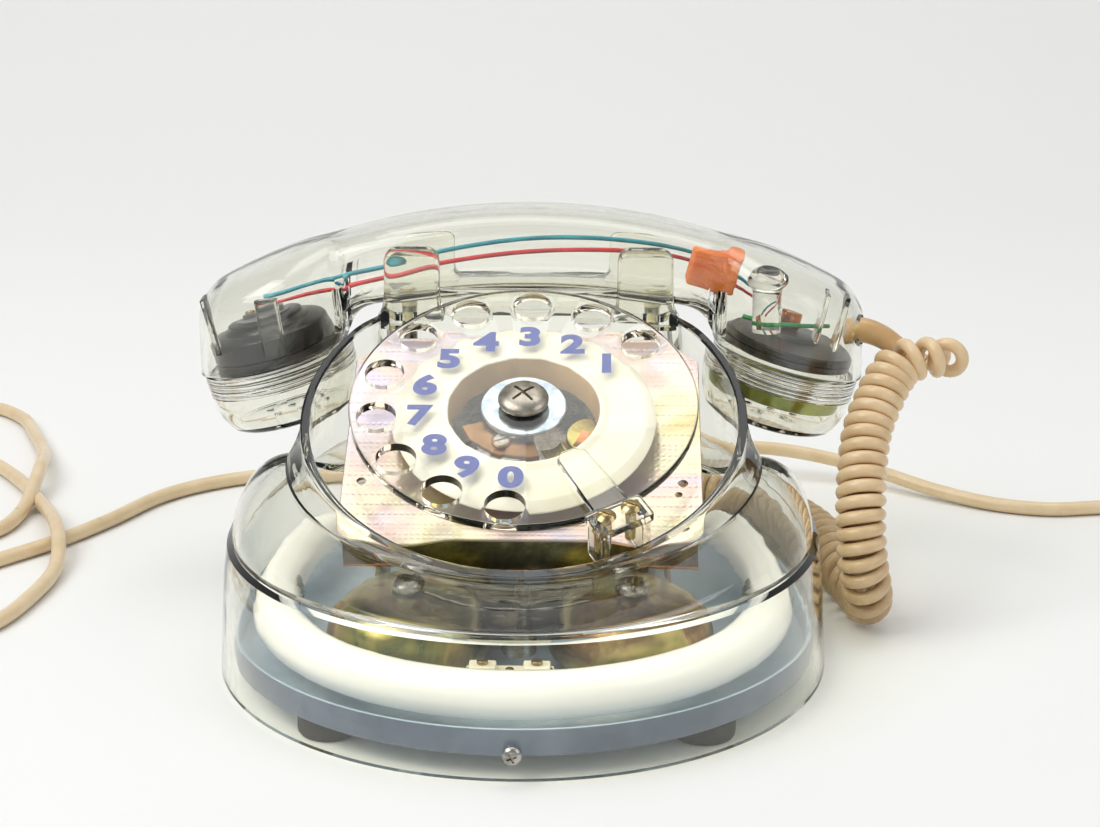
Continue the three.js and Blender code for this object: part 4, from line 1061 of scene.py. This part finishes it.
# side view of the underside where the handle turns down into a cup
neck_points = [[48, 96.55, 0], [54, 95.3, 0], [57.4, 93.2, 0], [59.8, 89.8, 0], [61.4, 86.2, 0],
               [62.3, 83.4, 0]]
neck = smooth_line(neck_points, 0.25)
ARCH_TOP, ARCH_CURVE = 128.7, 0.0024
UNDER_TOP, UNDER_CURVE = 100.7, 0.0018


def handset_solid(inset, mouth):
    """The handset's outside, or its hollow, which is moved inwards and runs out through the cup mouths."""
    half = HANDSET_HALF - inset
    tip = half - 12 + 12 * np.sin(np.linspace(0.0, math.pi / 2 - 0.02, 26))
    handle_part, neck_part = np.linspace(0, 52, 16), np.linspace(52, 70, 44)
    side = np.unique(np.concatenate([handle_part, neck_part, np.linspace(70, half - 12, 16), tip]))
    x = np.concatenate([-side[:0:-1], side])
    reach = np.abs(x)
    over = np.clip((reach - (half - END_ROUND)) / END_ROUND, 0, 0.999)
    top = ARCH_TOP - ARCH_CURVE * x * x - inset - END_ROUND * (1 - np.sqrt(1 - over**2))
    turned_down = np.interp(reach - inset, neck[:, 0], neck[:, 1])
    under = np.where(reach < 48, UNDER_TOP - UNDER_CURVE * x * x, turned_down) + inset
    low = np.where(reach - inset < neck[-1, 0], under, seam_height(x) - mouth)
    radius = CUP_R + 0.1 - inset
    circle = np.sqrt(np.clip(radius**2 - (reach - CUP_X) ** 2, 0.01, None))
    circle = np.where(reach > CUP_X + radius - 1e-6, 0.1, circle)
    handle = HANDLE_HALF - inset
    wide = np.where(reach > CUP_X, circle, (handle**8 + circle**8) ** 0.125)
    turn = np.linspace(0.0, 2 * math.pi, 96, endpoint=False)
    c, s = np.cos(turn)[None, :], np.sin(turn)[None, :]
    power = np.where(s > 0, 3.0, np.where(reach < 60, 7.0, 24.0)[:, None])
    middle = np.maximum(top - 13, (top + low) / 2)[:, None]
    half_high = np.where(s > 0, top[:, None] - middle, middle - low[:, None])
    z = middle + half_high * np.sign(s) * np.abs(s) ** (2 / power)
    above = np.clip((z - seam_height(x)[:, None]) / 16.0, 0, 1)
    blend = above * above * (3 - 2 * above)
    at_cup = circle[:, None] + (wide - circle)[:, None] * blend
    width = np.where(reach[:, None] < neck[0, 0], wide[:, None], at_cup)
    y = HANDSET_Y + width * np.sign(c) * np.abs(c) ** (2 / power)
    return skin(np.stack([np.broadcast_to(x[:, None], y.shape), y, z], axis=-1))


handset_acrylic = clear_acrylic("acrylic_handset", "D6D09C", 11.0, 0.02, 0.3)
cord_eye = moved(rod(5.2, -8, 8), place(HANDSET_HALF - 2, 74, 87.5, turn_y=90))
shell = combined(handset_solid(0.0, 0.0), ("DIFFERENCE", handset_solid(WALL, 6.0)), ("DIFFERENCE", cord_eye))
finish_piece("handset_moulding", shell, handset_acrylic, "handset", "handset_shell", "clear_acrylic")

# Screw caps with a fine thread inside and seven sound holes.
cap_profile = [[25.4, 0.5], [25.35, 4], [25.2, 9], [24.8, 12.5], [23.9, 16.2], [22.7, 19.0], [21.4, 20.9],
               [20.0, 21.8], [18.4, 22], [0, 22], [0, 19.8], [17.6, 19.8], [19.2, 19.2], [20.6, 17.2],
               [21.8, 13.6], [22.6, 9.6]]
thread_z = np.linspace(8.8, 0.7, 44)
cap_profile += np.column_stack([22.7 - 0.3 * np.cos(2 * math.pi * thread_z / 1.25), thread_z]).tolist()
sound = [(0.0, 0.0)] + [(8 * math.cos(math.radians(a)), 8 * math.sin(math.radians(a))) for a in range(0, 360,
                                                                                                      60)]
sound_cuts = [("DIFFERENCE", moved(rod(1.4, 15, 26, 20), place(x, y))) for x, y in sound]
cap_acrylic = clear_acrylic("acrylic_caps", "D0C890", 13.0, 0.025, 0.2)
cups = {}
for side, word in ((-1, "ear"), (1, "mouth")):
    cups[word] = place(side * CUP_X, HANDSET_Y, SEAM_Z, turn_y=180 + side * CUP_TILT)
    finish_piece(f"{word}_screw_cap", placed_mesh(cups[word], turned(cap_profile, 128), *sound_cuts),
                 cap_acrylic,
                 "handset", f"{word}_cap", "clear_acrylic")


# Bosses and ribs moulded inside the cups; each is a plain clear post or web.
def rib(width, deep, high, x, y, z, tilt):
    return moved(rounded_box((width, deep, high), 0.5, 8.0, 32), place(x, HANDSET_Y + y, z, turn_y=tilt))


dome_post = turned([[0, 0], [4.6, 0], [4.6, 14], [4.9, 14.6], [5.6, 15], [6.3, 16], [6.4, 17.6], [5.4, 19.4],
                    [3.4, 20.6], [0, 21]], 40)
bosses = together(moved(dome_post, place(79.3, 62, 90.4)),
                  rib(1.6, 9, 20, -106, -18, 91, -15), rib(1.6, 9, 17, 97, -18, 95.5, 15),
                  rib(1.8, 8, 19, 103.5, -16, 93, 15), rib(7, 7, 19, -86, -21.2, 91.5, -8))
bosses = piece("cup_bosses", *bosses, stop_acrylic, "handset", (), "clear_acrylic")

# Receiver: a stepped black capsule with a grey cover plate and two terminal screws on its back.
black_plastic = cream_plastic("phenolic_black", "262629", "121214", 0.3)
grey_plastic = cream_plastic("phenolic_grey", "77777B", "55555A", 0.35)
receiver = turned([[0, -14], [12.4, -14], [13, -13.6], [13.2, -12.6], [14.8, -11.8], [15.2, -11.2],
                   [19.8, -10.1],
                   [20.4, -9.5], [20.4, -3], [19.9, -2.6], [20.4, -2.2], [20.4, 1.6], [20, 2], [17.4, 3.4],
                   [16.8, 4], [0, 4]], 96)
piece("receiver_unit", *receiver, black_plastic, "handset", "receiver_capsule", "black_plastic", cups["ear"])
cover = together(rounded_disc(9.5, -14.8, -14.0, 0.3, 64),
                 moved(rounded_box((14, 5, 3), 0.5, 8.0, 32), place(0, 0, -15.6)))
piece("receiver_cover", *cover, grey_plastic, "handset", (), "black_plastic", cups["ear"])
terminals = together(*[moved(rounded_disc(1.6, -18.3, -16.8, 0.3, 24), place(x, 0)) for x in (-4.4, 4.4)])
piece("receiver_terminals", *terminals, brass_screw, "handset", (), "bright_steel", cups["ear"])

# Microphone: a dark carbon capsule, its copper contact post, and a green-gold contact ring in the cap.
microphone = turned([[0, -9], [8.4, -9], [9, -8.6], [9.4, -7.6], [11, -7.3], [20.8, -6.5], [21.4, -5.9],
                     [21.4, -4.3], [20.9, -4], [21.4, -3.7], [21.4, -2], [20.9, -1.5], [0, -1.5]], 96)
piece("microphone_unit", *microphone, black_plastic, "handset", "microphone_capsule", "black_plastic",
      cups["mouth"])
piece("contact_stud", *moved(rounded_disc(3.6, -16.5, -9.3, 0.5, 40), place(2, 3)), copper, "handset",
      "contact_post", "copper", cups["mouth"])
green_gold = old_metal("brass_ring_green", "C9C05E", "9DA24A", "4F6A35", 0.3, 30.0)
piece("brass_contact_ring", *turned([[18.4, 8.3], [18.7, 8], [21.1, 8], [21.4, 8.3], [21.4, 12.7], [21.1, 13],
                                     [18.7, 13], [18.4, 12.7]], 96),
      green_gold, "handset", "contact_ring", "gong_brass", cups["mouth"])

# Packing: a cut block of orange foam rubber.
def orange_foam():
    made, tree, at = new_material("foam_orange")
    cells = add(tree, "TexVoronoi", Vector=at, Scale=900.0)
    tone = add(tree, "TexNoise", Vector=at, Scale=120.0, Detail=4.0)
    colour = ramp(tree, tone.outputs["Fac"], (0.3, "D96A2E"), (0.7, "F08C4C"))
    shade(tree, Base_Color=colour, Roughness=0.85, Subsurface_Weight=0.1, Subsurface_Scale=0.002,
          Normal=bump_of(tree, cells.outputs["Distance"], 0.3, 0.6))
    return made


foam = piece("foam_packing", *rounded_box((17.2, 11.8, 11.8), 0.7, 11.0, 96), orange_foam(), "handset",
             "foam_block", "orange_foam", place(62, HANDSET_Y - 4, 108, turn_y=math.degrees(0.25)))


# Leads through the handle: thin stranded wire in coloured sleeving.
def sleeving(name, light, dark):
    made, tree, at = new_material(name)
    tone = add(tree, "TexNoise", Vector=at, Scale=120.0, Detail=3.0)
    colour = ramp(tree, tone.outputs["Fac"], (0.35, dark), (0.65, light))
    shade(tree, Base_Color=colour, Roughness=0.3, IOR=1.5)
    return made


for name, light, dark, route in (
    ("blue", "2F9DB0", "1F7F95",
     [[-92, 4, 98], [-80, 0, 101.5], [-62, -4, 105.5], [-45, -5, 109.5], [-28, -5, 114.5],
                                  [2, -3, 118.5], [32, -1, 117.5], [56, 6, 112], [72, 8, 104],
                                  [86, 6, 93.5]]),
    ("red", "D8222E", "B01522", [[-92, -4, 95.8], [-80, -6, 98.6], [-62, -8, 102.6], [-45, -8.5, 106.6],
                                 [-28, -8, 111], [2, -6, 114.5], [32, -4.5, 114.5], [52, 9, 109],
                                 [66, 12, 102],
                                 [82, 10, 92.5]]),
    ("green", "1F8F4C", "12703A", [[72, -12, 94], [80, -15, 92.6], [90, -15.5, 91.8], [100, -12, 91]]),
):
    line = smooth_line(np.array(route, float) + (0, HANDSET_Y, 0), 1.0)
    piece(f"lead_{name}", *swept(line, 0.8, 12), sleeving(f"sleeving_{name}", light, dark), "handset")

# ---------- chassis legs, ringer, electrics and hook ----------
# Under the dial: two sheet legs that carry the chassis, the ringer with its two gongs, the line
# terminals, and behind them the board, the lamp's transformer, a capacitor, a coil and the hook switch.


def finished(name, node, material, body, slot, bevel=0.35, turn=32.0):
    """A node's own shape as a piece, with its flats merged and its edges rounded."""
    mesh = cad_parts[node].data.copy()
    mesh.materials.clear()
    work = bmesh.new()
    work.from_mesh(mesh)
    bmesh.ops.remove_doubles(work, verts=work.verts, dist=2e-6)
    bmesh.ops.dissolve_limit(work, angle_limit=math.radians(1.0), verts=work.verts, edges=work.edges)
    work.to_mesh(mesh)
    work.free()
    return finish_piece(name, mesh, material, body, node, slot, turn, bevel)


for word in ("left", "right"):
    finished(f"leg_{word}", f"chassis_leg_{word}", plain_zinc, "body", "yellow_zinc", 0.25)


# Gongs of spun brass with a yellow passivated face, iridescent in patches.
def gong_brass():
    made, tree, at = new_material("brass_gong")
    patches = add(tree, "TexNoise", Vector=at, Scale=28.0, Detail=4.0, Roughness=0.6, Distortion=1.5)
    colour = ramp(tree, patches.outputs["Fac"], (0.3, "4E5A33"), (0.42, "8F8A45"), (0.52, "B5A064"),
                  (0.6, "8A6A48"), (0.72, "C8A85A"))
    spun = add(tree, "TexNoise", Vector=at, Scale=900.0, Detail=2.0)
    rough = add(tree, "MapRange", Value=patches.outputs["Fac"], To_Min=0.2, To_Max=0.42)
    shade(tree, Base_Color=colour, Metallic=1.0, Roughness=rough.outputs[0],
          Normal=bump_of(tree, spun.outputs["Fac"], 0.02, 0.3))
    return made


gong_metal = gong_brass()
gong_profile = [[3, 18], [8, 17.9], [14, 17.3], [17.6, 16.3], [20.6, 14.7], [22.9, 12.2], [24.3, 9.4],
                [25.1, 6],
                [25.4, 2.6], [25.4, 0.3], [25.1, 0], [24.3, 0], [24, 0.3], [24, 3], [23.5, 7.2], [22.2, 10.4],
                [20, 13.1], [17, 15], [13.4, 16.1], [3, 16.6]]
bolt_profile = [[0, 8.3], [4.2, 8.3], [4.4, 8.5], [4.4, 29.9], [4.2, 30.2], [2.7, 30.2], [2.7, 32.3],
                [4.8, 32.3],
                [5, 32.6], [5, 33.2], [4.6, 34], [3.6, 34.9], [2, 35.3], [0, 35.4]]
GONG_X, GONG_Y, GONG_Z = 34, -28, 14
for side, word in ((-1, "left"), (1, "right")):
    piece(f"gong_bowl_{word}", *turned(gong_profile, 128), gong_metal, "body", f"gong_{word}", "gong_brass",
          place(side * GONG_X, GONG_Y, GONG_Z))
    bolt_at = place(side * GONG_X, GONG_Y)
    cross = moved(rounded_box((7, 0.9, 1.6), 0.2, 8.0, 16), place(0, 0, 35.4, turn_z=15 * side))
    bolt = placed_mesh(bolt_at, turned(bolt_profile, 48), ("DIFFERENCE", cross))
    finish_piece(f"gong_bolt_turned_{word}", bolt, steel, "body", f"gong_bolt_{word}", "bright_steel")

finished("ringer_bracket", "ringer_frame", plain_zinc, "body", "bright_steel")


# Coils of enamelled copper wire, wound close, between black cheeks.
def wound_copper():
    made, tree, at = new_material("copper_winding")
    wound = add(tree, "TexWave", {"wave_type": "BANDS", "bands_direction": "Y"}, Vector=at, Scale=900.0,
                Distortion=0.6)
    tone = add(tree, "TexNoise", Vector=at, Scale=120.0, Detail=4.0)
    colour = ramp(tree, tone.outputs["Fac"], (0.35, "8A4A22"), (0.65, "B86C38"))
    shade(tree, Base_Color=colour, Metallic=0.9, Roughness=0.35,
          Normal=bump_of(tree, wound.outputs["Fac"], 0.1, 0.6))
    return made


winding = wound_copper()
for side, word in ((-1, "left"), (1, "right")):
    coil_at = place(side * 12, 12, 23, turn_x=90)
    piece(f"coil_winding_{word}",
          *turned([[0, -8.2], [8.7, -8.2], [9, -7.9], [9, 7.9], [8.7, 8.2], [0, 8.2]], 64),
          winding, "body", f"ringer_coil_{word}", "copper", coil_at)
    cheeks = together(rounded_disc(11, -10, -8.2, 0.5, 64), rounded_disc(11, 8.2, 10, 0.5, 64))
    piece(f"coil_cheeks_{word}", *cheeks, black_plastic, "body", (), "black_plastic", coil_at)
finished("clapper_hammer", "clapper", steel, "clapper", "bright_steel", 0.3)
finished("line_terminals", "terminal_block", cream_moulding, "body", "cream_plastic", 0.5)
tag_screws = together(*[moved(rounded_disc(1.7, 21, 22.2, 0.3, 24), place(x, -58)) for x in (-10, 6)],
                      *[moved(rounded_disc(1.3, 18.5, 19.6, 0.3, 24), place(x, -58)) for x in (-2, 9.4,
                                                                                               -13.4)])
piece("terminal_screws", *tag_screws, brass_screw, "body", (), "bright_steel")

# Printed board of brown phenolic paper, and the parts on it.
def phenolic_board():
    made, tree, at = new_material("phenolic_board")
    fibre = add(tree, "TexNoise", Vector=at, Scale=200.0, Detail=5.0, Roughness=0.7)
    colour = ramp(tree, fibre.outputs["Fac"], (0.35, "93662F"), (0.65, "B98A4A"))
    shade(tree, Base_Color=colour, Roughness=0.45)
    return made


finished("board", "circuit_board", phenolic_board(), "body", "board", 0.2)
finished("transformer", "lamp_transformer", old_metal("steel_laminations", "8C8983", "6B6862", "403E3A", 0.4),
         "body", "bright_steel", 0.5)
finished("line_capacitor", "capacitor", cream_plastic("capacitor_sleeve", "E8DDB8", "D8CA9C", 0.35), "body",
         "cream_plastic", 0.6)
finished("speech_coil", "induction_coil", winding, "body", "copper", 0.4)

# Hook: a steel bar with a cream-tipped plunger at each end rises with the handset and works the switch
# under it.
finished("hook_rail", "hook_bar", steel, "hook", "bright_steel", 0.4)
caps = together(*[moved(turned([[0, 90], [2.5, 90], [2.5, 96], [2.3, 96.8], [1.5, 97.2], [0, 97.2]], 32),
                        place(x, HANDSET_Y)) for x in (-PLUNGER_X, PLUNGER_X)])
piece("plunger_caps", *caps, cream_moulding, "hook", (), "cream_plastic")
finished("switch_stack", "hook_switch", cream_moulding, "body", "cream_plastic", 0.5)

# ---------- table, backdrop and lights ----------
# A white table running up into a pale backdrop, one broad lamp above on the left, a weaker one on the
# right, one overhead, and a strip low behind the camera.


def studio_white(name, colour, rough):
    made, tree, at = new_material(name)
    tone = add(tree, "TexNoise", Vector=at, Scale=3.0, Detail=2.0)
    soft = add(tree, "MapRange", Value=tone.outputs["Fac"], To_Min=rough - 0.05, To_Max=rough + 0.05)
    shade(tree, Base_Color=linear(colour), Roughness=soft.outputs[0], Specular_IOR_Level=0.2)
    return made


FLOOR_HALF = 3.0
BACK_Y = 1.5
SWEEP_R = 0.9
WALL_TOP = 3.2
bend = np.linspace(0.0, math.pi / 2, 24)
profile_y = np.concatenate([[-2.2, BACK_Y - SWEEP_R], BACK_Y - SWEEP_R + SWEEP_R * np.sin(bend[1:]),
                            [BACK_Y]])
profile_z = np.concatenate([[0, 0], SWEEP_R * (1 - np.cos(bend[1:])), [WALL_TOP]])
rows = len(profile_y)
sides = np.array([-FLOOR_HALF, FLOOR_HALF])
cove_points = np.stack([np.tile(sides, rows), np.repeat(profile_y, 2), np.repeat(profile_z, 2)], axis=1)
cove_mesh = bpy.data.meshes.new("table_and_backdrop")
cove_faces = [(2 * i, 2 * i + 1, 2 * i + 3, 2 * i + 2) for i in range(rows - 1)]
cove_mesh.from_pydata(cove_points.tolist(), [], cove_faces)
cove_mesh.polygons.foreach_set("use_smooth", [True] * len(cove_mesh.polygons))
cove_mesh.materials.append(studio_white("white_table", "F4F4F2", 0.5))
cove = bpy.data.objects.new("table_and_backdrop", cove_mesh)
bpy.context.scene.collection.objects.link(cove)

for name, watts, size, where, turn in (
    ("key_softbox", 12.0, (1.1, 0.9), (-0.9, -0.5, 1.25), (35, 0, -58)),
    ("fill_softbox", 3.2, (0.9, 0.9), (1.2, -0.5, 0.9), (52, 0, 66)),
    ("top_softbox", 7.5, (1.4, 1.0), (0.1, 0.35, 1.6), (-12, 0, 0)),
    ("front_strip", 1.2, (1.4, 0.3), (0.1, -1.6, 0.55), (76, 0, 3)),
):
    light = bpy.data.lights.new(name, "AREA")
    light.shape = "RECTANGLE"
    light.size, light.size_y = size
    light.energy = watts
    lamp = bpy.data.objects.new(name, light)
    lamp.location = where
    lamp.rotation_euler = [math.radians(angle) for angle in turn]
    bpy.context.scene.collection.objects.link(lamp)

world = bpy.data.worlds.new("studio")
world.use_nodes = True
world.node_tree.nodes["Background"].inputs["Color"].default_value = linear("ECEEEF")
world.node_tree.nodes["Background"].inputs["Strength"].default_value = 0.48
bpy.context.scene.world = world
bpy.context.scene.view_settings.view_transform = "Standard"
